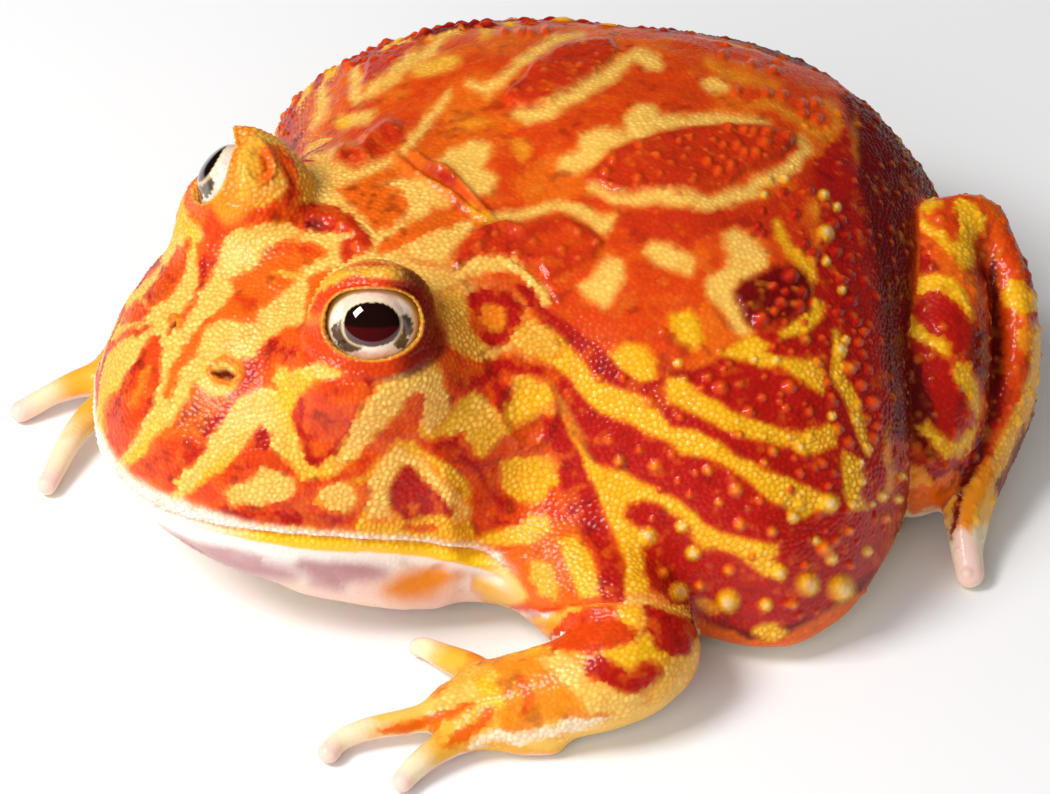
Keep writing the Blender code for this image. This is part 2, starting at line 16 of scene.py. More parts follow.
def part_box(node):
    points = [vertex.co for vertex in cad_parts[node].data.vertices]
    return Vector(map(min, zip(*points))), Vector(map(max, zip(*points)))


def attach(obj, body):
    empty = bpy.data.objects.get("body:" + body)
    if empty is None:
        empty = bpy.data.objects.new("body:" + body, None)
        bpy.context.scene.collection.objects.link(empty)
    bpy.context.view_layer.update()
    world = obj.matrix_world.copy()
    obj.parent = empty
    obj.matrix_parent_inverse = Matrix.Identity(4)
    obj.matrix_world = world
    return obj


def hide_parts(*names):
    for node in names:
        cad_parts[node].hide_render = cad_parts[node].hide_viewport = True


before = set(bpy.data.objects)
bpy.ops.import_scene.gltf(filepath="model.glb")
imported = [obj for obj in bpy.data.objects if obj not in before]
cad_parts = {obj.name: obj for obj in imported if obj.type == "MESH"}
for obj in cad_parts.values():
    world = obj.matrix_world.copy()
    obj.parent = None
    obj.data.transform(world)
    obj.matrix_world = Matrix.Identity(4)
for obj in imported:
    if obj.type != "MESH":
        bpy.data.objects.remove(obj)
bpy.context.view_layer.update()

MM = 0.001
VOXEL = 0.2

# Forms shared with the solids, in millimetres.
JAW_HALF_WIDTH = 27.5
JAW_LENGTH = 34.8
JAW_CORNER_Y = -17.0
LIP_FRONT_Z = 15.9
LIP_SLOPE = 0.131
JAW_DEPTH = 13.4
JAW_LOWEST_Z = 0.6
HEAD_BACK_Y = -3.0
CROWN_HEIGHT = ((-52, 21.5), (-46, 21.8), (-41, 22.4), (-35, 23.2), (-28, 24.2), (-20, 25.6),
                (-10, 26.4), (0, 26))
HEAD_TOP_POWER = 2.45
THROAT_POWER = (2.5, 6.0)
# Height of the mouth's line at each y, and the photograph's column where it fades out.
MOUTH_HEIGHT = ((-52, 15.4), (-50, 15.8), (-47.5, 16.3), (-44, 16.5), (-38, 15.9), (-32, 14.7), (-27, 13.1),
                (-21, 10.4), (-15, 8.5))
MOUTH_FADES = (525, 480)
# The photograph's row where the body's fold ends and the arm begins, and between which columns.
ARM_TOP = 604
ARM_COLUMNS = (515, 690)

TORSO_FRONT_Y = -27.0
TORSO_REAR_Y = 50.4
TORSO_HALF_WIDTH = ((0.195, 19), (0.26, 30.8), (0.313, 39.4), (0.36, 47.2), (0.405, 51.6), (0.448, 52.2),
                    (0.49, 51.4), (0.574, 46), (0.663, 35), (0.771, 27.4), (0.88, 19))
TORSO_TOP = ((0, 20), (0.195, 33.2), (0.313, 36.8), (0.405, 38.3), (0.49, 39.3), (0.574, 38.4),
             (0.663, 36.8), (0.771, 33), (0.88, 28.2), (1, 20))
TORSO_LOW = ((0, 12), (0.195, 3), (0.313, 0), (0.405, -0.8), (0.58, -0.8), (0.7, -0.3), (0.85, 3),
             (1, 14))
TORSO_WIDEST_Z = ((0, 18), (0.26, 12), (0.36, 5), (0.45, 4.6), (0.57, 9.5), (0.66, 12.5), (0.8, 13.5),
                  (1, 20))
TORSO_TOP_POWER = 2.08
TORSO_END_SOFTNESS = 0.003
TORSO_LOW_POWER = 3.3

# The left eyeball of the solids before they were slid, and both eyeballs of the scene.
SOLID_EYE = Vector((14.0, -28.7, 36.2))
EYE_CENTRE = {"left": Vector((14.5, -28.3, 36.0)), "right": Vector((-12.4, -27.3, 36.8))}
EYE_RADIUS = 5.5

# Rows of a limb piece: x, y, z, half width and half height, from its root to its tip.
ARMS = {
    "left": {
        "upper_arm": [(25, -13, 8, 10, 8), (33, -14, 8.4, 8.8, 7.6), (41, -14.8, 7.8, 7.2, 7),
                      (46, -15.4, 6.8, 6.2, 6.2)],
        "forearm": [(46.8, -15, 6.4, 5.8, 5.8), (47.2, -18.4, 6.3, 6.1, 6.1), (46.2, -23.4, 5.4, 5.8, 5.2),
                    (43.3, -28.6, 4.1, 4.8, 4)],
        "hand": [(44.4, -27.2, 3.8, 4.6, 3.6), (41.5, -32.2, 3.2, 5.2, 3.1), (39.6, -35.6, 2.4, 4.2, 2.3)],
        "fingers": [
            [(38.8, -30.2, 2.9, 2.6, 2.2), (35.4, -30.0, 2.8, 1.9, 1.7), (31.8, -30.9, 2.4, 1.45, 1.4),
             (28.6, -31.5, 1.7, 1.2, 1.2), (27.6, -31.8, 1.3, 1.15, 1.1)],
            [(40.2, -31.0, 3.0, 2.5, 2.2), (39.2, -35.0, 2.7, 1.8, 1.7), (38.2, -39.5, 2.5, 1.45, 1.45),
             (36.4, -44.0, 2.2, 1.25, 1.3), (35.7, -47.0, 1.6, 1.15, 1.2), (36.3, -49.0, 1.2, 1.2, 1.1)],
            [(42.6, -33.6, 2.7, 2.5, 2.1), (43.3, -37.0, 2.5, 1.75, 1.6), (43.5, -40.5, 2.2, 1.45, 1.45),
             (44.0, -43.4, 1.6, 1.3, 1.3), (44.5, -45.0, 1.25, 1.25, 1.15)],
            [(44.4, -32.4, 2.3, 2.2, 1.9), (46.6, -31.0, 1.8, 1.8, 1.7), (48.2, -28.6, 1.4, 1.5, 1.5)],
        ],
    },
    "right": {
        "upper_arm": [(22, -12, 8.5, 9.5, 8), (29, -12.6, 8.6, 8.4, 7.4), (34, -12.6, 7.8, 6.8, 6.8),
                      (37, -13, 6.8, 6, 6)],
        "forearm": [(38.6, -12, 6.4, 5.6, 5.8), (38.6, -16, 6.3, 6, 6), (35.8, -22.4, 5.4, 5.6, 5.2),
                    (32.2, -28.6, 4.1, 4.6, 3.9)],
        "hand": [(33.4, -27.2, 3.8, 4.5, 3.6), (30.6, -32.2, 3.2, 5.0, 3.1), (28.8, -35.8, 2.4, 4.0, 2.3)],
        "fingers": [
            [(28.4, -35.4, 2.8, 2.5, 2.3), (25.0, -44.0, 2.8, 1.5, 1.5), (19.6, -51.6, 1.3, 1.25, 1.2)],
            [(31.0, -34.4, 2.8, 2.5, 2.3), (32.4, -41.5, 2.6, 1.5, 1.5), (33.0, -47.4, 1.3, 1.25, 1.2)],
            [(33.0, -32.6, 2.5, 2.2, 2.0), (35.8, -30.6, 2.3, 1.9, 1.8), (38.2, -27.0, 1.5, 1.6, 1.5)],
            [(34.2, -30.0, 2.3, 2.2, 1.9), (37.0, -26.0, 1.8, 1.7, 1.6), (38.6, -22.2, 1.4, 1.5, 1.5)],
        ],
    },
}
LEGS = {
    "left": {
        "thigh": [(10, 30, 17, 9, 10), (18, 32, 17, 9, 10.5), (27, 29, 14, 8.5, 10), (35.5, 24.5, 9.5, 7, 8)],
        "shank": [(40.2, 26.6, 8.2, 5.2, 7), (36.6, 32, 11, 5.8, 7.8), (30, 38, 15.6, 5.9, 8),
                  (21.5, 43.8, 20.4, 5, 6.2)],
        "foot": [(22.4, 49.6, 20.4, 3.1, 4.6), (30.4, 48, 15.6, 2.8, 4.8), (37.4, 43.2, 9.6, 2.8, 4.8),
                 (42, 35.4, 5.2, 2.6, 3.8)],
        "toes": [
            [(39.6, 38.8, 4.6, 1.7, 1.8), (41.6, 36.0, 2.6, 1.5, 1.6), (43.2, 33.8, 1.4, 1.3, 1.3)],
            [(42.6, 35.4, 3.6, 1.7, 1.8), (44.6, 32.6, 2.4, 1.5, 1.6), (46.2, 30.4, 1.4, 1.3, 1.3)],
            [(44.2, 33.6, 4.4, 1.8, 2.0), (47.2, 30.2, 3.0, 1.7, 1.8), (49.6, 27.6, 1.5, 1.5, 1.5)],
            [(43.8, 33.2, 6.0, 2.2, 2.4), (47.6, 28.4, 4.4, 1.9, 2.1), (52.4, 25.6, 1.6, 1.65, 1.6)],
            [(42.2, 33.6, 7.0, 1.9, 2.0), (44.2, 31.0, 5.4, 1.6, 1.7), (46.4, 28.8, 3.6, 1.4, 1.4)],
        ],
    },
    "right": {
        "thigh": [(10, 30, 13.5, 9, 9), (18, 31, 13, 9, 9.5), (27, 28, 11.5, 8.5, 9),
                  (35.5, 23.5, 9, 7, 7.8)],
        "shank": [(40.2, 25.4, 7.8, 5.2, 7), (37, 31, 9, 5.8, 7.6), (30.6, 36.6, 10.6, 5.8, 7.4),
                  (22.4, 42, 12, 5, 5.8)],
        "foot": [(23, 47, 11.4, 3, 4.2), (30.8, 44.8, 9, 2.7, 4.6), (37.6, 40.2, 6.8, 2.6, 4.6),
                 (42.6, 33.4, 4.8, 2.6, 3.7)],
        "toes": [
            [(41.8, 33.2, 4.0, 1.7, 1.8), (44.2, 30.6, 2.4, 1.5, 1.6), (45.8, 28.4, 1.4, 1.3, 1.3)],
            [(44.6, 29.8, 3.4, 1.7, 1.8), (46.8, 27.0, 2.2, 1.5, 1.6), (48.4, 24.8, 1.4, 1.3, 1.3)],
            [(46.0, 28.0, 4.0, 1.8, 2.0), (49.4, 24.2, 2.8, 1.7, 1.8), (51.8, 21.4, 1.5, 1.5, 1.5)],
            [(46.2, 27.8, 5.6, 2.2, 2.4), (51.4, 22.6, 4.2, 2.0, 2.2), (55.0, 17.2, 1.7, 1.7, 1.7)],
            [(44.6, 28.4, 6.6, 1.9, 2.0), (49.2, 22.6, 4.6, 1.7, 1.8), (51.6, 16.8, 1.5, 1.5, 1.5)],
        ],
    },
}

# Where the left eye looks.
GAZE = Vector((0.645, -0.4415, 0.624)).normalized()
# Radii of the forms round each eyeball, and how widely each is blended in.
LID_MOUND = {"left": (8.6, 10.0, 6.5), "right": (8.6, 8.0, 6.5)}
MOUND_DROP = 4.5
MOUND_BLEND = 4.0
LID_DOME = {"left": 6.5, "right": 6.25}
DOME_BLEND = 1.8
LID_CREST = {"left": (6.3, 6.6, 6.3), "right": (6.3, 5.7, 6.3)}
CREST_BACK = 1.6
CREST_RISE = 0.9
CREST_BLEND = 1.2
LID_ROOM = 16
# The upper lid is flatter than an oval.
UPPER_LID_POWER = 2.6
# Half width and half height of the opening for the eye, in millimetres.
OPENING = (5.15, 3.8)
OPENING_DEPTH = 1.2
OPENING_BLEND = 0.5
SOCKET_GAP = 0.03
SOCKET_BLEND = 0.15
# Root and tip of each brow horn, from the middle of its eyeball.
BROW = {"left": ((0.2, 1.6, 4.4), (1.4, 1.2, 6.9)), "right": ((-1.2, 0.9, 3.6), (-3.3, 0.6, 6.7))}
BROW_STEPS = 9
BROW_RADII = (1.7, 3.0, 1.7)
BROW_BLEND = 0.8
BROW_TAPER = 0.8
BROW_BLUNTNESS = 0.12
CORNEA_SWELL = 0.55
HEEL_PAD = (3.8, 5.4, 5.4)
HEEL_ROOM = 12
HEEL_BLEND = 2.0
# Blends of each chain of limb pieces: between the pieces, and at its root.
LEG_BLENDS = ((0.5, 2.0), 0.8)
FOOT_BLENDS = ((0.5, *[1.2] * 5), 2.0)
UPPER_ARM_BLENDS = ((0.5,), 6.0)
HAND_BLENDS = ((0.5, 3.0, *[1.6] * 4), 0.5)
SMOOTH_ROUNDS = 4
# How far outside a limb its distances are worked out, and the box of voxels round the whole animal.
LIMB_ROOM = 24
FAR_AWAY = 50.0
GRID_LOW = (-60, -57, -3)
GRID_HIGH = (60, 58, 49)
SLAB = 48
TRUNK_BLEND = 5.0
LEAST_NORM = 0.05
# Half width and half height of the pupil, in radii of the eyeball.
PUPIL = (0.545, 0.425)
PUPIL_POWER = 2.3
EYE_RINGS = 110
EYE_SIDES = 144
IRIS_SRGB = {
    "ground": (228, 206, 184), "light": (246, 234, 218), "flush": (222, 176, 154), "patch": (56, 36, 16),
    "rim": (196, 160, 74), "edge": (236, 214, 160), "pupil": (26, 10, 8), "pupil_light": (70, 12, 14),
}
# Dark patches of the iris: middle and radii, in radii of the eyeball.
IRIS_PATCHES = ((-0.6, -0.14, 0.17, 0.2), (-0.42, -0.4, 0.22, 0.13), (0.64, -0.02, 0.14, 0.2),
                (0.54, -0.28, 0.13, 0.17))

# The solids were slid so that the origin is under the middle of their box; the left eye shows how far.
eye_low, eye_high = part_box("eye_left")
SHIFT = (eye_low + eye_high) / 2 / MM - SOLID_EYE

# Camera: it looks at TARGET, in the frog's own axes, from TURN degrees round from straight in front.
TARGET = Vector((17.5, -10.7, 20.2))
TURN = math.radians(55.6)
RISE = math.radians(38.6)
DISTANCE = 500.0
FOCAL_PIXELS = 4525.0
FRAME_WIDTH = 1050
FRAME_HEIGHT = 794
SENSOR_WIDTH = 36.0
CLIP_START = 0.01
TOWARDS_CAMERA = Vector((math.sin(TURN) * math.cos(RISE), -math.cos(TURN) * math.cos(RISE),
                         math.sin(RISE)))
PIXELS_PER_MM = FOCAL_PIXELS / DISTANCE
INK_SRGB = {
    "deep": (112, 8, 6), "red": (176, 20, 8), "rust": (196, 46, 8),
    "vermilion": (214, 64, 6), "orange": (226, 98, 10), "amber": (232, 138, 24), "honey": (236, 172, 50),
    "yellow": (240, 178, 12), "cream": (242, 190, 84), "pale": (244, 222, 184), "white": (248, 240, 232),
    "pink": (242, 204, 190), "mauve": (186, 138, 142), "gold": (252, 202, 12),
}
# Ink of a wart's tip, where it isn't vermilion.
WART_TIP = {"yellow": "pale", "orange": "honey", "vermilion": "orange"}
# Light patches that are edged with orange.
RIMMED = ("yellow", "cream", "honey")

# Lines and outlines that are both painted and raised.
NOSTRIL_RIM = (214, 366, 226, 360, 238, 366, 240, 376, 232, 384, 218, 382, 211, 374, 214, 366)
FAR_NOSTRIL = (171, 327, 176, 323)
NECK_FOLD = (410, 151, 427, 164, 445, 170, 458, 183, 471, 196, 486, 212, 497, 222)
REAR_PATCH = (585, 181, 594, 169, 613, 153, 636, 142, 663, 135, 693, 128, 725, 126, 755, 126, 776, 130,
              792, 137, 790, 146, 778, 158, 757, 167, 741, 174, 730, 185, 707, 190, 675, 192, 647, 192,
              620, 192, 604, 185)
FAR_PATCH = (505, 97, 510, 88, 525, 79, 534, 62, 553, 51, 566, 45, 594, 40, 610, 40, 616, 50, 608, 64,
             594, 74, 573, 88, 551, 103, 523, 105, 510, 103)
EAR_PATCH = (453, 264, 464, 244, 482, 229, 505, 225, 521, 231, 540, 227, 566, 222, 588, 229, 603, 244,
             592, 259, 568, 270, 549, 279, 540, 266, 518, 259, 497, 257, 475, 259, 458, 270)
# How dark the skin between granules is painted, partly its own colour and partly painted shade in the
# grooves, how high a granule stands, and how amber the arms are.
GROOVE_SHADE_SHARE = 0.7
GRAIN_HEIGHT = 0.17
ARM_AMBER = 0.8
# Fingers and toes: ink, and where along the digit it starts and is full.
DIGIT_INKS = (("honey", 0.0, 0.15), ("pale", 0.4, 0.7), ("pink", 0.75, 1.0))
# Distance in millimetres between granules, and the least there may be.
GRANULE_SPACING = 0.51
LEAST_SPACING = 0.4
WART_SPACING = 1.7
# Softness of the edges of each set of marks, in pixels.
SOFTNESS = {"back": 12, "flank": 8, "rump": 18, "head": 7, "lip": 4, "throat": 26, "limb": 7}
# Relief humps, as height, middle and width in millimetres: lips by height over the mouth's line, and
# lids by distance from the edge of the eye.
LIP_HUMPS = ((0.4, 1.0, math.sqrt(2.2)), (-0.5, 0.0, 0.3), (0.25, -1.1, math.sqrt(0.8)))
UPPER_LID_HUMPS = ((0.3, 1.5, 0.55), (-0.25, 2.9, 0.35))
LID_GROOVE = ((-0.3, 0.6, 0.3),)
LOWER_LID_HUMPS = ((0.16, 1.6, 0.35), (-0.14, 2.3, 0.3))
LID_REACH = 12
THROAT_DENTS = 0.5
# Where along y each zone of the trunk starts and is full.
THROAT = (-12, -18)
JAWS = (-12, -20)
SNOUT = (-30, -44)
HEAD = (-5, -20)
BODY = (-14, -4)
# Skin that faces the camera less than this takes the markings of its mirrored counterpart.
SWAP_BELOW = 0.25
# The photograph's marks lie on skin that faces it more than this, and veins fill in what it hides.
SEEN_ABOVE = 0.03
VEINS_BETWEEN = (0.1, 0.02)
# How much of the warp that keeps marks to whole granules each set of trunk marks takes.
BACK_WARP = 0.7
LIP_WARP = 0.3
# How smooth the throat, the underside and the digits are.
THROAT_SMOOTHNESS = 0.85
UNDER_SMOOTHNESS = 0.8
DIGIT_SMOOTHNESS = 0.9
# Flecks of other inks on single granules of red skin, and on the rest.
RED_FLECKS = 0.4
HEAD_FLECKS = 0.15
AMBER_FLECKS = 0.3
# How much flatter granules lie on the back, on red skin, on warts and on limbs.
BACK_FLATNESS = 0.45
RED_FLATNESS = 0.3
WART_FLATNESS = 0.6
LIMB_FLATNESS = 0.35
TONE_RANGE = 0.16
# Strewn warts: share of the places they like, and the millimetres that radius and height are shares of.
WILD_SHARE = 0.3
WILD_RADIUS = 1.2
WILD_HEIGHT = 0.5
# Noises, as share, size of a lump in millimetres and salt. The warps are in pixels.
NOISES = {
    "broad": ((1, 6.5, 11), (0.5, 3.0, 12)),
    "veins": ((1, 8.0, 21), (0.45, 3.4, 22)),
    "fine": ((1, 1.3, 23),),
    "swap": ((0.08, 4.0, 5),),
    "spacing": ((0.07, 2.2, 35),),
    "blotch": ((0.5, 0.8, 71), (0.6, 2.0, 72)),
    "warp x": ((2.5, 3.2, 31), (3, 1.0, 33)),
    "warp y": ((2.5, 3.2, 32), (3, 1.0, 34)),
    "folds": ((0.10, 2.4, 41), (0.16, 5.5, 42)),
    "throat": ((1, 7.0, 43),),
    "lip edge": ((0.2, 1.6, 46), (0.1, 0.6, 47)),
    "lid folds": ((0.25, 1.6, 61),),
    "lid edges": ((0.22, 0.9, 62),),
    "pupil edge": ((0.02, 1.2, 51), (0.01, 0.5, 52)),
    "iris": ((1, 0.9, 53), (0.6, 0.35, 54)),
    "iris specks": ((1, 0.2, 55),),
}
# Values of the shaders' own sockets.
EYE_GLAZE = {"Roughness": 0.03, "Coat Weight": 1.0, "Coat Roughness": 0.02, "Specular IOR Level": 0.4}
WET_SKIN = {
    "Roughness": 0.42, "Coat Weight": 0.3, "Coat Roughness": 0.09, "Specular IOR Level": 0.16,
    "Subsurface Weight": 0.1, "Subsurface Radius": (1.0, 0.35, 0.15), "Subsurface Scale": 0.0012,
}
SKIN_GRAIN = 0.3
GRAIN_SCALE = 2600.0
GRAIN_DEPTH = 0.0001
FLOOR_PAPER = {"Base Color": (0.92, 0.92, 0.92, 1), "Roughness": 0.9}
FLOOR_REACH = 3.0
SKY_STRENGTH = 0.3
# Lights in metres: name, place, power and size.
LIGHTS = (("key", (-0.09, -0.4, 0.55), 3.95, 0.26), ("fill", (0.34, -0.56, 0.3), 2.1, 0.5))
LIGHTS_AIM = (0, 0, 0.02)

# Markings traced on the photograph, in its own pixels, and painted shade among them: ink, width (0 for a
# closed outline), x and y of each point. The skin is painted where these points show on it, and the hidden
# side mirrors the seen one.
HEAD_MARKS = (
    ("cream", 0, 224, 240, 236, 228, 262, 222, 290, 222, 302, 232, 286, 238, 266, 244, 260, 262, 246, 276,
     228, 280, 220, 262),
    ("cream", 15, 192, 260, 186, 282, 178, 302, 160, 322, 148, 340),
    ("cream", 9, 182, 236, 170, 254, 156, 272, 146, 288, 132, 310),
    ("cream", 12, 166, 368, 152, 400, 140, 430, 122, 462),
    ("cream", 17, 236, 408, 226, 430, 206, 456, 188, 478, 176, 500),
    ("cream", 24, 300, 290, 280, 306, 270, 320),
    ("cream", 0, 352, 424, 370, 396, 384, 376, 400, 364, 424, 360, 440, 372, 446, 392, 452, 408, 430, 434,
     420, 420, 424, 398, 412, 392, 402, 402, 388, 420, 370, 438, 356, 456, 336, 470, 344, 446),
    ("cream", 0, 222, 490, 236, 482, 250, 476, 262, 464, 276, 470, 294, 478, 300, 492, 286, 502, 262, 506,
     242, 500, 230, 512),
    ("cream", 0, 318, 494, 330, 484, 346, 482, 356, 494, 356, 508, 342, 514, 326, 508),
    ("cream", 0, 370, 476, 384, 454, 400, 444, 420, 456, 434, 466, 448, 482, 462, 498, 472, 512, 460, 526,
     452, 516, 444, 500, 432, 486, 424, 474, 412, 464, 400, 466, 390, 486, 388, 508, 394, 522, 370, 520,
     366, 500),
    ("orange", 0, 197, 384, 190, 400, 178, 412, 168, 425, 158, 438, 147, 452, 132, 467, 135, 481, 148, 492,
     164, 500, 170, 494, 176, 478, 187, 466, 197, 457, 206, 441, 219, 428, 229, 410, 238, 394, 226, 398,
     212, 396),
    ("vermilion", 0, 160, 440, 147, 453, 132, 467, 135, 481, 148, 492, 164, 500, 170, 494, 177, 478,
     187, 466, 197, 457, 206, 441, 196, 434, 180, 438),
    ("red", 8, 232, 400, 217, 419, 205, 438, 192, 455, 178, 466),
    ("vermilion", 0, 152, 335, 143, 350, 133, 365, 124, 377, 116, 391, 107, 402, 106, 420, 105, 436,
     108, 450, 118, 466, 126, 458, 134, 441, 141, 421, 151, 402, 158, 386, 163, 366, 164, 348, 160, 337),
    ("red", 6, 141, 361, 130, 377, 121, 394, 112, 414),
    ("red", 6, 157, 378, 152, 396, 143, 417),
    ("amber", 5, 150, 366, 140, 386, 131, 405),
    ("vermilion", 0, 191, 237, 193, 246, 187, 262, 182, 278, 176, 291, 164, 301, 150, 306, 145, 299,
     148, 289, 157, 280, 160, 270, 172, 256, 181, 246),
    ("red", 8, 180, 268, 160, 292, 150, 300),
    ("vermilion", 10, 158, 260, 146, 272, 138, 280),
    ("vermilion", 0, 138, 300, 152, 308, 146, 318, 133, 326, 120, 322, 126, 308),
    ("vermilion", 8, 152, 325, 132, 334, 116, 342, 106, 352),
    ("vermilion", 0, 213, 198, 240, 225, 226, 236, 222, 250, 218, 266, 210, 280, 203, 290, 198, 298,
     190, 302, 200, 284, 198, 264, 199, 246, 205, 234, 206, 216),
    ("red", 8, 203, 258, 204, 275, 201, 290),
    ("vermilion", 6, 194, 302, 184, 314, 180, 324, 168, 334),
    ("orange", 0, 276, 239, 305, 239, 332, 250, 326, 259, 305, 268, 291, 283, 276, 297, 264, 312, 258, 324,
     241, 324, 223, 321, 206, 329, 194, 353, 179, 382, 167, 403, 163, 394, 176, 365, 188, 338, 203, 321,
     223, 309, 229, 294, 232, 280, 253, 268, 267, 253),
    ("vermilion", 9, 272, 250, 300, 248, 318, 254),
    ("vermilion", 9, 236, 296, 256, 300, 248, 314),
    ("honey", 8, 276, 272, 300, 276),
    ("rust", 0, 284, 206, 305, 202, 335, 206, 355, 219, 370, 233, 374, 244, 366, 254, 352, 260, 343, 266,
     337, 256, 341, 244, 353, 240, 343, 234, 326, 233, 305, 230, 288, 222),
    ("deep", 10, 308, 224, 318, 226),
    ("rust", 12, 296, 186, 288, 200, 284, 214),
    ("orange", 24, 340, 273, 320, 288, 316, 318, 322, 346, 346, 364),
    ("vermilion", 0, 240, 362, 254, 357, 262, 346, 272, 336, 283, 330, 296, 324, 308, 320, 320, 334,
     326, 350, 320, 360, 308, 366, 292, 368, 278, 366, 274, 378, 276, 388, 262, 386, 250, 394, 240, 398,
     230, 402, 228, 396, 240, 386, 244, 374),
    ("red", 14, 272, 345, 284, 346, 292, 358),
    ("red", 9, 248, 366, 254, 380, 242, 392),
    ("red", 22, 350, 368, 372, 372, 400, 364, 420, 352, 436, 336),
    ("vermilion", 0, 317, 382, 335, 379, 352, 372, 364, 372, 375, 388, 372, 395, 360, 406, 352, 420,
     345, 436, 339, 446, 331, 459, 318, 467, 308, 462, 303, 452, 295, 434, 292, 418, 294, 404, 301, 394),
    ("red", 9, 303, 400, 300, 418, 304, 438, 309, 458, 320, 463, 331, 455, 338, 442),
    ("red", 10, 366, 378, 369, 394),
    ("vermilion", 0, 183, 500, 190, 490, 205, 480, 222, 470, 232, 458, 245, 448, 252, 436, 262, 425,
     270, 437, 272, 450, 284, 460, 294, 470, 304, 482, 330, 478, 345, 468, 358, 455, 372, 440, 382, 430,
     394, 418, 402, 406, 406, 396, 416, 390, 426, 398, 424, 410, 418, 422, 421, 434, 432, 440, 446, 437,
     461, 431, 468, 444, 476, 456, 488, 466, 498, 480, 508, 494, 522, 502, 532, 512, 522, 524, 505, 520,
     486, 515, 480, 502, 472, 488, 462, 474, 448, 462, 434, 456, 424, 448, 412, 440, 398, 438, 386, 448,
     376, 460, 364, 474, 350, 482, 334, 484, 320, 492, 316, 504, 330, 512, 350, 514, 362, 504, 360, 490,
     364, 476, 370, 490, 366, 510, 354, 528, 335, 530, 300, 527, 262, 523, 230, 517, 205, 515, 190, 508),
    ("orange", 10, 357, 484, 362, 498, 358, 512),
    ("cream", 0, 224, 490, 238, 482, 252, 476, 262, 466, 276, 471, 292, 478, 298, 491, 285, 501, 262, 505,
     242, 500, 230, 510),
    ("red", 9, 254, 448, 262, 434, 266, 448),
    ("red", 9, 236, 466, 248, 462),
    ("red", 10, 200, 508, 250, 516, 310, 520, 345, 522),
    ("red", 10, 436, 448, 456, 444, 470, 462, 488, 480, 498, 496, 500, 510),
    ("red", 0, 402, 466, 412, 465, 424, 477, 434, 489, 444, 500, 453, 508, 452, 518, 436, 517, 420, 520,
     405, 524, 392, 512, 388, 500, 389, 487, 396, 476),
    ("orange", 10, 410, 508, 414, 514),
    ("vermilion", 6, 402, 527, 420, 530, 434, 529),
    ("vermilion", 0, 432, 318, 444, 338, 452, 350, 470, 360, 490, 361, 502, 352, 520, 358, 540, 363,
     560, 372, 560, 381, 540, 377, 520, 375, 512, 382, 512, 400, 500, 414, 488, 405, 474, 393, 462, 400,
     454, 409, 447, 392, 444, 374, 436, 362, 424, 356),
    ("red", 14, 452, 376, 468, 388, 484, 380, 500, 366, 520, 366, 545, 372),
    ("red", 13, 498, 384, 503, 394, 500, 406),
    ("red", 0, 466, 300, 480, 288, 496, 285, 514, 292, 524, 308, 522, 330, 508, 344, 492, 350, 478, 342,
     468, 322),
    ("amber", 0, 482, 308, 494, 304, 506, 310, 508, 322, 500, 330, 488, 328, 481, 318),
    ("honey", 0, 440, 292, 458, 290, 466, 312, 472, 334, 486, 350, 470, 356, 452, 344, 440, 322),
    ("cream", 11, 456, 276, 480, 266, 502, 264, 522, 270, 540, 286, 548, 302),
    ("red", 12, 520, 284, 534, 300, 544, 320, 548, 340),
    ("honey", 0, 520, 326, 536, 318, 552, 330, 560, 350, 548, 358, 524, 352, 510, 344),
    ("orange", 15, 382, 250, 405, 238, 429, 227, 461, 215),
    ("orange", 0, 376, 230, 393, 215, 411, 209, 405, 195, 382, 186, 364, 183, 352, 197, 364, 212),
    ("yellow", 0, 230, 129, 238, 139, 243, 150, 245, 165, 243, 180, 236, 193, 226, 197, 216, 192, 217, 176,
     219, 160, 225, 150, 227, 138),
    ("honey", 0, 240, 137, 250, 137, 266, 145, 277, 158, 282, 176, 280, 190, 262, 197, 245, 197, 243, 180,
     245, 160, 242, 148),
    ("vermilion", 0, 248, 152, 258, 147, 266, 150, 270, 160, 270, 172, 266, 181, 258, 181, 250, 170,
     246, 160),
    ("amber", 5, 251, 164, 257, 160, 262, 167),
    # Painted shade: rust along the right side of the far brow knob, over its groove.
    ("rust", 11, 272, 149, 284, 159, 292, 176, 297, 190, 291, 203, 283, 214),
    ("cream", 8, 262, 190, 276, 184),
    ("vermilion", 0, 213, 197, 222, 199, 236, 202, 250, 206, 262, 206, 276, 199, 285, 206, 281, 218,
     262, 222, 246, 224, 236, 228, 226, 236, 214, 240, 206, 228, 209, 214),
    ("yellow", 0, 516, 382, 532, 378, 548, 384, 553, 396, 546, 410, 530, 418, 515, 424, 503, 420, 505, 408,
     514, 398),
    ("red", 0, 510, 432, 530, 424, 548, 415, 560, 420, 562, 440, 550, 450, 535, 456, 520, 458, 507, 450,
     504, 440),
    ("red", 7, 504, 436, 514, 448, 518, 458),
    ("yellow", 0, 500, 464, 520, 457, 540, 455, 553, 462, 557, 478, 549, 492, 535, 502, 520, 500, 506, 492,
     502, 478),
    ("vermilion", 0, 548, 490, 560, 484, 568, 508, 557, 522, 546, 508),
    ("yellow", 0, 530, 514, 548, 518, 551, 532, 536, 537, 522, 528),
)
LIP_MARKS = (
    ("amber", 7, *NOSTRIL_RIM),
    # Painted shade: deep red in the hole of the near nostril, over its sunken relief.
    ("deep", 7, 215, 375, 226, 372, 234, 378),
    ("amber", 7, 169, 322, 174, 317, 180, 321, 179, 330),
    # Painted shade: deep red in the hole of the far nostril, over its sunken relief.
    ("deep", 4, *FAR_NOSTRIL),
)
THROAT_MARKS = (
    ("mauve", 24, 165, 536, 200, 554, 250, 570, 290, 576),
    ("mauve", 34, 306, 566, 340, 572, 380, 574),
    ("pink", 30, 360, 592, 420, 598, 470, 604),
    ("amber", 32, 392, 590, 426, 582, 466, 560),
)
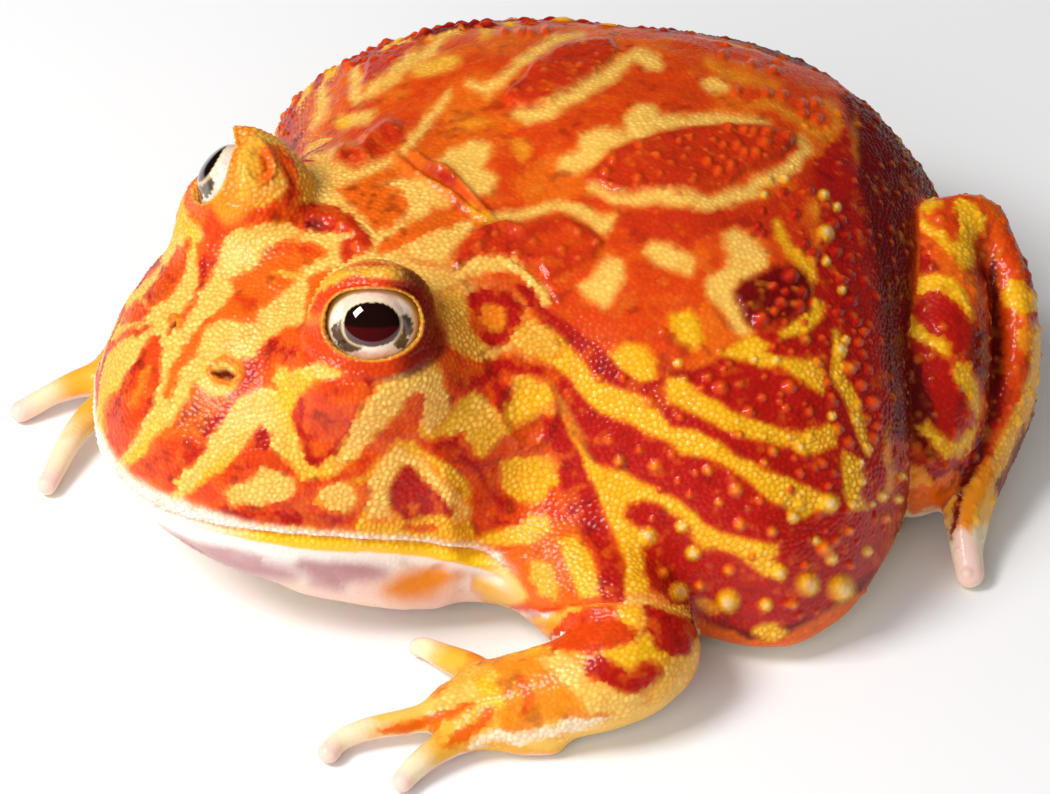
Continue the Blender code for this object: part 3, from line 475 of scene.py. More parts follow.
FLANK_MARKS = (
    ("red", 0, 560, 318, 604, 350, 640, 384, 680, 372, 712, 362, 745, 340, 782, 322, 812, 296, 820, 230,
     812, 160, 846, 130, 864, 200, 884, 300, 908, 420, 900, 500, 884, 560, 820, 614, 760, 634, 700, 618,
     650, 590, 610, 500, 580, 430, 552, 380),
    ("red", 0, 540, 300, 555, 315, 576, 331, 604, 356, 624, 377, 650, 384, 662, 379, 668, 402, 650, 397,
     619, 387, 596, 374, 578, 356, 563, 336, 540, 323),
    ("orange", 0, 693, 617, 719, 628, 749, 640, 780, 638, 821, 614, 859, 594, 879, 570, 893, 540, 900, 600,
     850, 650, 780, 668, 700, 650),
    ("yellow", 0, 540, 326, 560, 336, 578, 359, 594, 377, 619, 389, 642, 397, 660, 412, 670, 428, 698, 433,
     719, 443, 739, 458, 762, 468, 790, 479, 818, 494, 836, 499, 833, 509, 816, 509, 805, 517, 795, 519,
     785, 507, 764, 494, 744, 476, 719, 463, 693, 453, 683, 453, 668, 440, 650, 433, 624, 420, 601, 412,
     586, 397, 568, 374, 553, 364, 540, 359),
    ("yellow", 0, 668, 379, 683, 379, 698, 392, 719, 405, 739, 417, 764, 425, 790, 433, 816, 430, 828, 425,
     836, 428, 836, 443, 821, 451, 805, 453, 790, 445, 770, 443, 749, 438, 729, 430, 708, 420, 688, 410,
     668, 402, 665, 389),
    ("yellow", 0, 721, 354, 749, 336, 767, 343, 764, 354, 782, 359, 803, 361, 816, 359, 823, 377, 823, 394,
     810, 389, 795, 377, 777, 366, 759, 366, 742, 359),
    ("yellow", 0, 780, 331, 795, 320, 810, 315, 816, 300, 823, 303, 823, 318, 810, 331, 795, 336, 782, 338),
    ("yellow", 0, 563, 422, 576, 443, 586, 458, 601, 468, 624, 473, 642, 484, 662, 494, 680, 502, 696, 514,
     703, 524, 724, 535, 744, 540, 775, 545, 777, 553, 770, 558, 785, 570, 782, 578, 764, 576, 749, 563,
     734, 553, 716, 547, 703, 550, 696, 542, 691, 527, 683, 517, 668, 512, 660, 502, 642, 499, 627, 504,
     624, 517, 634, 527, 647, 535, 655, 540, 642, 547, 645, 565, 642, 576, 647, 583, 647, 593, 622, 593,
     619, 583, 624, 568, 617, 550, 609, 530, 601, 504, 596, 484, 583, 466, 573, 448, 560, 430),
    ("vermilion", 0, 470, 470, 500, 440, 550, 430, 570, 440, 600, 500, 625, 560, 622, 604, 560, 612,
     500, 612, 480, 560, 470, 520),
    ("red", 0, 545, 380, 556, 400, 552, 440, 560, 480, 545, 505, 560, 525, 590, 540, 600, 560, 600, 602,
     622, 602, 626, 565, 612, 545, 604, 515, 590, 480, 576, 450, 562, 420, 552, 385),
    ("red", 0, 478, 465, 495, 470, 505, 500, 528, 505, 530, 520, 515, 530, 490, 520, 478, 495),
    ("honey", 0, 505, 470, 520, 460, 548, 452, 558, 465, 552, 485, 545, 500, 530, 508, 510, 505, 502, 490),
    ("orange", 0, 535, 522, 560, 520, 580, 530, 588, 560, 598, 602, 560, 608, 500, 606, 476, 590, 500, 552,
     535, 545),
    ("yellow", 0, 530, 520, 545, 515, 548, 535, 530, 545, 500, 546, 470, 540, 500, 530),
    ("yellow", 0, 555, 540, 575, 538, 590, 555, 597, 580, 598, 595, 580, 596, 572, 575, 565, 560),
    ("cream", 0, 474, 562, 500, 562, 520, 580, 528, 600, 510, 608, 490, 604, 474, 590),
    ("honey", 0, 532, 562, 552, 565, 560, 585, 558, 600, 540, 596, 530, 580),
    ("yellow", 10, 836, 333, 838, 351, 836, 374, 846, 389, 854, 407, 859, 422, 864, 438, 869, 453),
    ("amber", 9, 892, 422, 889, 443, 887, 458, 892, 473, 889, 489, 882, 499),
    ("yellow", 0, 844, 451, 856, 461, 864, 479, 859, 494, 867, 509, 851, 509, 844, 494, 841, 468),
    ("yellow", 16, 757, 632, 784, 632),
    ("amber", 12, 700, 602, 716, 612),
)
# Painted shade: deep red in the gap between the rump and the leg.
RUMP_GAP_SHADE = (
    ("deep", 0, 850, 84, 880, 84, 916, 170, 912, 300, 914, 440, 890, 440, 878, 300, 860, 200),
)
BACK_MARKS = (
    ("vermilion", 0, 620, 73, 656, 71, 679, 64, 689, 80, 709, 94, 718, 107, 679, 114, 656, 105, 643, 103,
     624, 114, 622, 130, 594, 130, 578, 142, 560, 151, 560, 117, 597, 101, 617, 89),
    ("rust", 0, 617, 215, 652, 211, 698, 208, 755, 208, 767, 197, 790, 192, 808, 165, 819, 169, 822, 188,
     803, 206, 803, 220, 813, 241, 810, 257, 799, 264, 785, 241, 767, 234, 755, 229, 725, 231, 698, 241,
     689, 252, 652, 241, 636, 245),
    # Painted shade: deep red on the rump beside the gap to the leg.
    ("deep", 0, 838, 92, 868, 104, 905, 150, 915, 200, 880, 214, 852, 196, 858, 160, 848, 124),
    ("cream", 11, 321, 82, 323, 97, 322, 112, 312, 128),
    ("cream", 13, 356, 66, 355, 86, 356, 103),
    ("rust", 0, 373, 47, 384, 46, 406, 37, 423, 36, 419, 49, 401, 69, 386, 82, 375, 92, 366, 95, 361, 86,
     369, 66),
    ("cream", 11, 362, 98, 385, 84, 410, 62, 432, 49, 445, 36, 460, 30),
    ("vermilion", 0, 436, 51, 458, 38, 480, 38, 460, 47),
    ("yellow", 9, 482, 36, 490, 28, 497, 23),
    ("cream", 10, 469, 84, 486, 90, 501, 82, 518, 64, 536, 51, 558, 40, 581, 36),
    ("rust", 0, *FAR_PATCH),
    ("cream", 14, 516, 114, 529, 118, 547, 112, 568, 99, 590, 84, 606, 76, 620, 66, 636, 55),
    ("cream", 16, 636, 54, 648, 60, 659, 66),
    ("cream", 9, 449, 92, 440, 105, 430, 118, 419, 134, 410, 144, 397, 155),
    ("yellow", 12, 338, 124, 352, 122),
    ("cream", 10, 352, 123, 373, 116),
    ("honey", 14, 414, 71, 436, 66, 458, 60),
    ("vermilion", 0, 391, 127, 401, 116, 412, 97, 423, 97, 419, 112, 410, 131),
    ("rust", 0, 332, 164, 343, 152, 362, 155, 369, 140, 384, 128, 401, 130, 406, 138, 388, 153, 375, 162,
     367, 169, 356, 168, 343, 164),
    ("cream", 9, 323, 168, 336, 175, 354, 177, 373, 170, 391, 160),
    ("orange", 0, 312, 140, 330, 136, 347, 140, 338, 149, 319, 147),
    ("orange", 0, 336, 190, 367, 177, 395, 166, 401, 175, 382, 183, 373, 192, 397, 201, 404, 214, 393, 227,
     378, 231, 362, 216, 345, 203),
    ("cream", 0, 373, 192, 401, 179, 427, 181, 451, 196, 449, 205, 432, 207, 421, 218, 408, 216, 399, 201),
    ("orange", 0, 382, 248, 397, 235, 414, 225, 436, 214, 453, 207, 464, 216, 445, 218, 423, 231, 404, 242,
     388, 253),
    ("cream", 0, 401, 246, 421, 233, 440, 222, 460, 218, 473, 220, 471, 229, 460, 242, 453, 253, 440, 264,
     421, 261, 406, 257),
    ("orange", 9, 397, 156, 414, 172, 440, 189, 464, 205),
    ("orange", 8, *NECK_FOLD),
    ("red", 9, 432, 170, 445, 178, 453, 184),
    ("yellow", 6, 468, 206, 484, 218, 493, 226),
    ("cream", 0, 436, 162, 449, 151, 471, 142, 492, 144, 490, 157, 484, 168, 497, 179, 490, 192, 477, 196,
     464, 188, 456, 170),
    ("amber", 0, 510, 140, 525, 140, 531, 153, 523, 162, 514, 151),
    ("amber", 12, 464, 125, 488, 123),
    ("cream", 0, 557, 162, 579, 151, 588, 138, 601, 129, 620, 131, 620, 147, 601, 153, 592, 166, 577, 175,
     562, 170),
    ("cream", 0, 624, 119, 638, 107, 654, 107, 659, 117, 689, 117, 721, 112, 755, 117, 769, 123, 732, 123,
     702, 126, 675, 130, 652, 137, 629, 142, 606, 151, 590, 165, 574, 174, 560, 169, 560, 158, 581, 151,
     581, 135, 601, 130, 624, 135),
    ("amber", 9, 751, 105, 776, 105, 790, 117, 808, 128, 824, 135, 836, 128, 833, 112, 826, 103),
    ("amber", 7, 707, 61, 725, 73, 744, 80, 776, 87),
    ("cream", 12, 705, 84, 725, 88),
    ("rust", 0, *REAR_PATCH),
    ("cream", 13, 594, 188, 613, 197, 633, 199, 659, 197, 689, 201, 709, 204, 734, 197, 751, 192, 760, 181,
     778, 176, 794, 165, 806, 149, 801, 140),
    ("cream", 0, 643, 252, 652, 243, 670, 245, 695, 257, 695, 264, 689, 277, 675, 270, 656, 264),
    ("cream", 0, 721, 236, 734, 231, 755, 241, 767, 254, 767, 264, 757, 273, 741, 280, 734, 291, 737, 305,
     744, 321, 753, 332, 744, 340, 730, 325, 721, 309, 707, 296, 709, 280, 721, 270, 730, 264, 728, 252),
    ("cream", 0, 608, 254, 622, 259, 622, 280, 615, 298, 604, 309, 588, 298, 578, 286, 592, 277),
    ("cream", 0, 560, 206, 574, 204, 597, 213, 615, 215, 606, 234, 594, 225, 574, 215),
    ("yellow", 0, 670, 315, 688, 310, 698, 323, 702, 341, 691, 350, 675, 338),
    ("yellow", 0, 609, 356, 627, 343, 647, 346, 657, 361, 655, 379, 642, 384, 624, 371),
    ("deep", 0, 734, 291, 744, 280, 762, 273, 774, 266, 790, 264, 808, 273, 815, 289, 810, 309, 790, 319,
     774, 325, 757, 332, 744, 321, 737, 305),
    ("yellow", 10, 776, 222, 780, 234, 790, 252, 799, 261, 810, 270, 819, 282, 819, 303, 813, 316, 794, 323,
     780, 335),
    ("amber", 0, 808, 206, 826, 197, 840, 192, 840, 206, 826, 211, 817, 222),
    ("amber", 8, 819, 245, 831, 257, 840, 266, 849, 275, 861, 286, 865, 300),
    ("amber", 9, 856, 119, 856, 158),
    ("rust", 0, *EAR_PATCH),
    ("vermilion", 16, 530, 246, 560, 242, 586, 246),
    ("cream", 10, 495, 216, 514, 216, 536, 212, 560, 205, 583, 212, 601, 227),
)
LEG_MARKS = (
    ("red", 60, 900, 250, 940, 330, 930, 400, 960, 450),
    # Painted shade: deep red along the leg's front edge, in the gap beside the body.
    ("deep", 30, 900, 350, 915, 400, 930, 450),
    ("vermilion", 24, 950, 205, 950, 235),
    ("yellow", 0, 903, 212, 912, 200, 932, 197, 941, 205, 930, 213, 914, 215),
    ("yellow", 11, 890, 234, 905, 225, 925, 226, 940, 236, 952, 251, 963, 266),
    ("yellow", 0, 957, 199, 975, 203, 988, 220, 985, 228, 975, 235, 972, 255, 970, 271, 962, 268, 955, 256,
     950, 246, 960, 240, 962, 228, 957, 212),
    ("yellow", 0, 891, 282, 896, 275, 930, 275, 948, 278, 962, 292, 970, 308, 970, 321, 962, 310, 955, 302,
     945, 295, 930, 291, 905, 297, 893, 292),
    ("yellow", 0, 895, 312, 906, 317, 918, 328, 932, 339, 950, 345, 949, 356, 935, 352, 918, 341, 902, 329,
     895, 321),
    ("yellow", 0, 957, 362, 968, 364, 976, 382, 981, 402, 978, 419, 970, 408, 965, 392, 955, 378),
    ("yellow", 0, 916, 426, 928, 422, 938, 432, 950, 444, 962, 440, 975, 424, 974, 440, 961, 455, 945, 459,
     934, 448, 924, 436),
    ("amber", 24, 905, 476, 925, 482),
    ("orange", 26, 905, 506, 935, 496, 955, 478),
    ("vermilion", 26, 1010, 240, 1012, 300, 1012, 360, 1004, 420, 990, 450),
    ("red", 14, 1000, 380, 998, 410, 988, 440),
    ("deep", 11, 992, 262, 993, 300, 996, 360, 992, 410, 980, 450, 962, 490, 950, 540),
    ("yellow", 0, 1001, 292, 1012, 279, 1024, 284, 1035, 296, 1039, 311, 1020, 312, 1005, 306),
    ("amber", 0, 1014, 330, 1026, 324, 1031, 340, 1025, 356, 1016, 346),
    ("honey", 16, 1034, 330, 1036, 370, 1028, 400, 1012, 430, 1000, 455, 985, 485, 975, 520),
    ("amber", 16, 990, 466, 972, 500, 960, 540),
    ("pink", 22, 962, 535, 966, 560, 974, 580),
)
ARM_MARKS = (
    ("honey", 0, 440, 690, 480, 655, 530, 620, 600, 600, 700, 606, 704, 660, 664, 722, 560, 754, 480, 754,
     440, 742),
    ("vermilion", 0, 547, 640, 551, 629, 566, 616, 588, 607, 614, 605, 616, 616, 625, 625, 640, 627,
     636, 638, 621, 646, 605, 649, 588, 655, 571, 653, 553, 651),
    ("red", 0, 644, 605, 662, 607, 684, 618, 702, 627, 694, 640, 688, 653, 668, 657, 655, 653, 653, 638,
     640, 631, 649, 618),
    ("red", 0, 582, 662, 588, 655, 605, 655, 618, 668, 631, 675, 644, 662, 660, 664, 662, 675, 651, 690,
     636, 694, 616, 692, 599, 683, 586, 677),
    ("yellow", 0, 605, 651, 621, 649, 638, 640, 649, 633, 653, 644, 668, 659, 658, 659, 640, 662, 631, 672,
     621, 668, 612, 657),
    ("yellow", 0, 616, 607, 636, 605, 644, 614, 638, 623, 625, 623),
    ("yellow", 0, 523, 653, 527, 638, 536, 627, 553, 625, 547, 640, 540, 653, 530, 655),
    ("cream", 0, 540, 657, 560, 653, 575, 662, 582, 677, 597, 683, 616, 694, 640, 696, 649, 696, 640, 707,
     625, 718, 605, 711, 590, 711, 579, 698, 566, 683, 551, 672),
    ("amber", 0, 510, 662, 530, 655, 540, 664, 553, 675, 566, 685, 577, 701, 590, 714, 608, 714, 603, 720,
     582, 722, 566, 720, 558, 716, 545, 722, 540, 731, 523, 735, 514, 740, 501, 729, 495, 714, 493, 698,
     495, 681),
    ("orange", 12, 520, 676, 530, 696, 524, 712),
    ("pale", 12, 471, 746, 501, 733, 519, 741, 545, 733, 566, 725, 603, 722, 625, 722),
    ("cream", 14, 532, 745, 564, 740, 597, 731, 629, 718, 653, 712, 670, 700, 681, 683),
    ("cream", 16, 380, 716, 413, 709, 445, 701, 478, 690),
    ("orange", 11, 380, 731, 402, 727, 423, 720, 445, 714, 470, 705),
    ("orange", 12, 450, 744, 467, 735, 480, 724, 490, 711),
    ("amber", 16, 470, 655, 492, 660, 512, 672),
    ("yellow", 16, 480, 682, 492, 694, 502, 706),
)
# Raised warts: ink, height over radius, then x, y and radius of each.
WARTS = (
    ("yellow", 0.55, 648, 536, 9, 682, 526, 7, 693, 553, 8, 679, 592, 10, 728, 601, 12, 766, 605, 7,
     808, 584, 12, 841, 588, 14, 779, 572, 8, 800, 447, 6, 789, 438, 4, 832, 416, 5, 754, 360, 5,
     776, 360, 5, 840, 350, 8, 846, 340, 5, 678, 363, 5, 828, 503, 10, 793, 517, 7, 882, 496, 6, 860, 463, 5,
     861, 481, 5, 851, 504, 5, 872, 504, 4, 856, 420, 5, 868, 448, 5, 901, 476, 5, 898, 499, 5, 867, 551, 6,
     831, 558, 7, 816, 541, 5, 825, 234, 9, 769, 181, 5, 785, 179, 5, 764, 195, 5, 823, 196, 6, 836, 208, 5,
     826, 262, 5, 842, 290, 5),
    ("orange", 0.65, 729, 570, 7, 793, 604, 6, 886, 518, 6, 849, 531, 5, 824, 548, 9, 773, 451, 6,
     739, 435, 5, 650, 403, 6, 599, 379, 5, 805, 340, 6, 818, 363, 5, 850, 368, 7, 764, 463, 5, 655, 466, 7,
     620, 461, 7, 708, 470, 6, 736, 489, 8, 719, 502, 5, 740, 524, 7, 772, 531, 6, 664, 573, 6, 700, 586, 6,
     752, 556, 5),
    ("vermilion", 0.75, 708, 377, 6, 721, 388, 8, 789, 387, 8, 749, 412, 7, 786, 408, 5, 809, 412, 5,
     762, 398, 5, 780, 402, 4, 724, 369, 4, 764, 377, 4, 702, 388, 4, 623, 378, 5, 680, 417, 5, 773, 347, 4,
     791, 352, 4, 822, 338, 4, 828, 382, 4, 831, 396, 4, 836, 313, 4, 861, 385, 6, 873, 402, 7, 877, 426, 5,
     849, 442, 6, 823, 463, 5, 800, 473, 5, 795, 458, 4, 828, 486, 4, 678, 481, 4, 696, 473, 4, 652, 519, 4,
     864, 331, 5, 859, 342, 5, 759, 323, 6, 773, 313, 5, 799, 308, 5, 804, 323, 4, 785, 323, 4, 760, 500, 5,
     790, 490, 5, 610, 440, 5, 640, 450, 5, 672, 455, 5, 690, 495, 5, 660, 490, 4, 805, 565, 5, 850, 565, 5),
    ("red", 0.7, 790, 277, 9, 801, 293, 7, 799, 307, 7, 780, 305, 7, 760, 321, 9, 772, 288, 6, 784, 294, 5,
     808, 192, 6, 794, 215, 6, 762, 211, 5, 783, 192, 5, 813, 254, 6, 803, 245, 6, 836, 252, 6, 849, 257, 6,
     842, 280, 6, 833, 224, 6, 838, 312, 6, 757, 227, 5, 762, 234, 5, 852, 300, 6, 858, 322, 5, 846, 236, 5),
    ("vermilion", 0.6, 723, 55, 6, 753, 64, 6, 774, 71, 6, 737, 92, 6, 767, 94, 6, 783, 96, 6, 803, 105, 6,
     815, 103, 6, 803, 114, 6, 817, 119, 6, 505, 30, 6, 521, 32, 6, 531, 32, 6, 547, 30, 6, 728, 130, 7,
     744, 133, 6, 753, 135, 6, 767, 135, 7, 787, 137, 7, 764, 146, 8, 755, 156, 7, 744, 156, 6, 737, 149, 6,
     723, 149, 5, 707, 165, 6, 718, 174, 6, 730, 169, 6, 640, 149, 6, 613, 163, 6, 606, 174, 6, 638, 181, 6,
     684, 160, 4, 679, 144, 4, 658, 160, 4, 660, 178, 4, 694, 180, 4, 690, 140, 4),
)
# Relief lines: height in millimetres, width in pixels, then x and y of each point.
RIDGES = (
    (0.4, 8, *NOSTRIL_RIM),
    (-1.3, 8, 217, 376, 226, 373, 232, 378),
    (0.4, 6, 169, 322, 174, 317, 180, 321, 179, 330, 172, 331),
    (-0.8, 5, *FAR_NOSTRIL),
    (0.55, 8, 395, 155, 414, 173, 432, 186, 449, 194, 464, 205, 484, 218, 492, 225),
    (0.55, 8, *NECK_FOLD),
    (-0.4, 6, 402, 153, 420, 168, 440, 180, 456, 190, 470, 202, 488, 218),
    (0.9, 16, 330, 164, 345, 153, 364, 155, 372, 142, 388, 130, 404, 131),
    (-0.35, 7, 452, 262, 466, 248, 482, 236),
    (0.6, 12, 470, 250, 486, 234, 506, 228, 524, 234, 560, 226, 590, 232),
    (0.6, 16, 300, 214, 335, 219, 362, 238, 356, 252),
    (0.35, 26, 150, 465, 190, 400, 222, 350, 260, 300, 290, 262),
    (-0.3, 14, 430, 300, 440, 330, 442, 350),
    (0.35, 9, 456, 276, 480, 264, 504, 262, 524, 272, 542, 288),
    (-0.25, 6, 512, 262, 530, 272, 548, 290, 556, 306),
    (0.3, 10, 526, 378, 548, 386, 556, 408, 548, 436, 524, 448),
    (0.25, 10, 526, 378, 506, 384, 496, 406, 506, 432, 524, 448),
    (-0.4, 9, 440, 546, 470, 552, 500, 552, 520, 548),
    (0.35, 9, 440, 556, 475, 562, 510, 562, 528, 556),
    (-0.35, 9, 430, 566, 470, 576, 505, 580),
    (-0.45, 7, 532, 618, 569, 608, 595, 603, 627, 603),
    (0.35, 5, 246, 151, 254, 146, 264, 147, 272, 155, 275, 168, 270, 180, 258, 185, 248, 177, 245, 165),
    (-0.3, 4, 251, 157, 258, 152, 266, 158, 268, 168, 262, 176, 254, 173),
    (0.25, 4, 232, 133, 239, 148, 242, 164, 237, 182),
    (0.3, 4, 243, 138, 252, 142, 264, 145),
    (-0.45, 8, 280, 155, 289, 168, 297, 186, 291, 203),
    (-0.3, 5, 222, 200, 238, 204, 256, 208, 274, 204),
    (-0.3, 16, 296, 562, 330, 574, 356, 592),
    (-0.35, 10, 400, 560, 430, 572, 462, 560),
    (-0.3, 10, 170, 540, 200, 552, 240, 556),
)
# Raised patches: height in millimetres, softness in pixels, then the outline.
PLATEAUS = (
    (0.5, 8, *REAR_PATCH),
    (0.5, 9, *FAR_PATCH),
    (0.45, 8, *EAR_PATCH),
    (0.4, 8, 361, 90, 369, 60, 384, 44, 424, 34, 420, 52, 401, 72, 380, 92),
    (0.4, 8, 737, 295, 760, 284, 790, 284, 805, 295, 800, 312, 775, 325, 748, 318),
    (-0.35, 14, 514, 390, 540, 382, 552, 400, 548, 428, 528, 440, 510, 426),
)


def spline(knots, t):
    """Value at t, a number or an array, of a smooth curve through (t, value) knots."""
    xs = np.array([k[0] for k in knots], float)
    ys = np.array([k[1] for k in knots], float)
    t = np.clip(np.asarray(t, float), xs[0], xs[-1])
    slopes = np.empty_like(ys)
    slopes[1:-1] = (ys[2:] - ys[:-2]) / (xs[2:] - xs[:-2])
    slopes[0] = (ys[1] - ys[0]) / (xs[1] - xs[0])
    slopes[-1] = (ys[-1] - ys[-2]) / (xs[-1] - xs[-2])
    i = np.clip(np.searchsorted(xs, t, side="right") - 1, 0, len(xs) - 2)
    span = xs[i + 1] - xs[i]
    s = (t - xs[i]) / span
    return (ys[i] * (2 * s**3 - 3 * s**2 + 1) + ys[i + 1] * (3 * s**2 - 2 * s**3)
            + slopes[i] * span * (s**3 - 2 * s**2 + s) + slopes[i + 1] * span * (s**3 - s**2))


def smooth_union(a, b, blend):
    """Polynomial blend of two distances over a width of blend."""
    h = np.clip(0.5 + 0.5 * (b - a) / blend, 0, 1)
    return b + (a - b) * h - blend * h * (1 - h)


def smooth_cut(a, b, blend):
    """a with b taken away."""
    return -smooth_union(-a, b, blend)


def ramp(value, low, high):
    """0 at low, 1 at high, with soft ends."""
    t = np.clip((value - low) / (high - low), 0, 1)
    return t * t * (3 - 2 * t)


def humps(value, shapes):
    """Sum of round humps, each given as height, middle and width."""
    return sum(height * np.exp(-((value - middle) / width) ** 2) for height, middle, width in shapes)


def laid_over(base, cover, top):
    """base under top, which covers each row by its own share."""
    cover = cover[:, None]
    return base * (1 - cover) + top * cover


def tree_of(points):
    """A search tree of points, numbered in their order."""
    tree = KDTree(len(points))
    for i, point in enumerate(points):
        tree.insert(point, i)
    tree.balance()
    return tree


def lip_z(y):
    return LIP_FRONT_Z - (y + JAW_LENGTH - JAW_CORNER_Y) * LIP_SLOPE


class Grid:
    """A box of voxels that distance fields are blended into."""

    def __init__(self, low, high, step):
        self.low = np.array(low, float)
        self.step = step
        self.count = np.ceil((np.array(high) - self.low) / step).astype(int) + 1
        self.axes = [self.low[a] + step * np.arange(self.count[a]) for a in range(3)]
        self.field = np.full(self.count, FAR_AWAY, np.float32)

    def window(self, low, high):
        """Slices and coordinates of the voxels inside a box."""
        slices = []
        coords = []
        for a in range(3):
            i = int(np.clip(math.floor((low[a] - self.low[a]) / self.step), 0, self.count[a] - 1))
            j = int(np.clip(math.ceil((high[a] - self.low[a]) / self.step) + 1, i + 1, self.count[a]))
            slices.append(slice(i, j))
            coords.append(self.axes[a][i:j].astype(np.float32))
        x = coords[0][:, None, None]
        y = coords[1][None, :, None]
        z = coords[2][None, None, :]
        return tuple(slices), x, y, z

    def around(self, centre, room):
        """The same for a cube with its middle at centre."""
        return self.window([c - room for c in centre], [c + room for c in centre])


def within(inner, outer):
    """Slices of an inner window in the array of an outer one."""
    return tuple(slice(i.start - o.start, i.stop - o.start) for i, o in zip(inner, outer))


def power_norm(a, b, power):
    return (a**power + b**power) ** (1 / power)


def torso_distance(x, y, z):
    """Distance to the torso: superellipse sections along a body with round ends."""
    middle = (TORSO_FRONT_Y + TORSO_REAR_Y) / 2
    reach = (TORSO_REAR_Y - TORSO_FRONT_Y) / 2
    t = (y - middle) / reach
    fullness = 1 - t**2
    swell = np.sqrt((fullness + np.sqrt(fullness**2 + TORSO_END_SOFTNESS)) / 2)
    u = np.arctan2(swell, -t) / math.pi
    widest = spline(TORSO_WIDEST_Z, u)
    wide = spline(TORSO_HALF_WIDTH, u) / swell
    high = (spline(TORSO_TOP, u) - widest) / swell
    deep = (widest - spline(TORSO_LOW, u)) / swell
    rise = z - widest
    upper = power_norm(np.abs(x) / wide, np.clip(rise, 0, None) / high, TORSO_TOP_POWER)
    lower = power_norm(np.abs(x) / wide, np.clip(-rise, 0, None) / deep, TORSO_LOW_POWER)
    norm = np.sqrt(np.where(rise > 0, upper, lower) ** 2 + t**2)
    span = np.sqrt(x**2 + rise**2 + (y - middle) ** 2)
    return span * (1 - 1 / np.maximum(norm, LEAST_NORM))


def head_distance(x, y, z):
    """Distance to the head and jaws: half an ellipse in plan in front of the mouth's corner."""
    ahead = np.clip((JAW_CORNER_Y - y) / JAW_LENGTH, 0, None)
    s = np.sqrt(np.clip(1 - ahead**2, 0.03, 1))
    lip = lip_z(y)
    crown = spline(CROWN_HEIGHT, y)
    deep = np.minimum(JAW_DEPTH / s**0.2, (lip - JAW_LOWEST_Z) / s)
    throat = THROAT_POWER[0] + (THROAT_POWER[1] - THROAT_POWER[0]) * s**4
    rise = z - lip
    upper = power_norm(np.abs(x) / JAW_HALF_WIDTH, np.clip(rise, 0, None) / crown, HEAD_TOP_POWER)
    lower = power_norm(np.abs(x) / JAW_HALF_WIDTH, np.clip(-rise, 0, None) / deep, throat)
    norm = np.sqrt(np.where(rise > 0, upper, lower) ** 2 + ahead**2)
    span = np.sqrt(x**2 + rise**2 + np.clip(JAW_CORNER_Y - y, 0, None) ** 2)
    distance = span * (1 - 1 / np.maximum(norm, LEAST_NORM))
    return np.maximum(distance, y - HEAD_BACK_Y)


def blob_distance(x, y, z, centre, radii, axes=None):
    """Distance to an ellipsoid, near enough for blending."""
    dx, dy, dz = x - centre[0], y - centre[1], z - centre[2]
    if axes is not None:
        dx, dy, dz = (dx * a[0] + dy * a[1] + dz * a[2] for a in axes)
    scaled = np.sqrt((dx / radii[0]) ** 2 + (dy / radii[1]) ** 2 + (dz / radii[2]) ** 2)
    squared = np.sqrt((dx / radii[0] ** 2) ** 2 + (dy / radii[1] ** 2) ** 2 + (dz / radii[2] ** 2) ** 2)
    return scaled * (scaled - 1) / np.maximum(squared, 1e-6)


def axes_along(way):
    """Three axes: across and level, across and rising, and along way."""
    side = Vector((0, 0, 1)).cross(way)
    side = side.normalized() if side.length > 1e-3 else Vector((1, 0, 0))
    return side, way.cross(side), way


def mirrored(point, side):
    return Vector((point[0] if side == "left" else -point[0], point[1], point[2]))


def limb_rows(path, side, count):
    """Middle, half width and half height at even steps along a limb piece."""
    last = len(path) - 1
    knots = [[(i / last, row[k]) for i, row in enumerate(path)] for k in range(5)]
    rows = np.stack([spline(k, np.linspace(0, 1, count)) for k in knots], 1)
    if side == "right":
        rows[:, 0] *= -1
    return rows


def axes_at(rows, i):
    """Axes of a limb piece at one of its rows."""
    ahead = rows[min(i + 1, len(rows) - 1), :3] - rows[max(i - 1, 0), :3]
    return axes_along(Vector(ahead).normalized())


def limb_field(grid, path, side, margin, spacing=0.12):
    """A limb of overlapping ellipsoids along a smooth path; returns its window and distances."""
    length = sum((Vector(a[:3]) - Vector(b[:3])).length for a, b in zip(path, path[1:]))
    steps = max(int(length / (spacing * min(row[4] for row in path))), 6)
    widest = max(max(row[3], row[4]) for row in path) + margin + 1
    rows = limb_rows(path, side, steps + 1)
    window, _, _, _ = grid.window(rows[:, :3].min(0) - widest, rows[:, :3].max(0) + widest)
    field = np.full(grid.field[window].shape, FAR_AWAY, np.float32)
    for i, (*middle, wide, high) in enumerate(rows):
        part, x, y, z = grid.around(middle, max(wide, high) + margin)
        inner = within(part, window)
        distance = blob_distance(x, y, z, middle, (wide, high, min(wide, high)), axes_at(rows, i))
        field[inner] = np.minimum(field[inner], distance)
    return window, field


def add_limb(grid, pieces, side, blends, root_blend):
    """Blends a chain of limb pieces together, then into the body."""
    places = np.array([row[:3] for path in pieces for row in path], float)
    if side == "right":
        places[:, 0] *= -1
    window, _, _, _ = grid.window(places.min(0) - LIMB_ROOM, places.max(0) + LIMB_ROOM)
    chain = np.full(grid.field[window].shape, FAR_AWAY, np.float32)
    for path, blend in zip(pieces, blends):
        part, field = limb_field(grid, path, side, max(3.0, root_blend + 2))
        inner = within(part, window)
        chain[inner] = smooth_union(chain[inner], field, blend)
    grid.field[window] = smooth_union(grid.field[window], chain, root_blend)


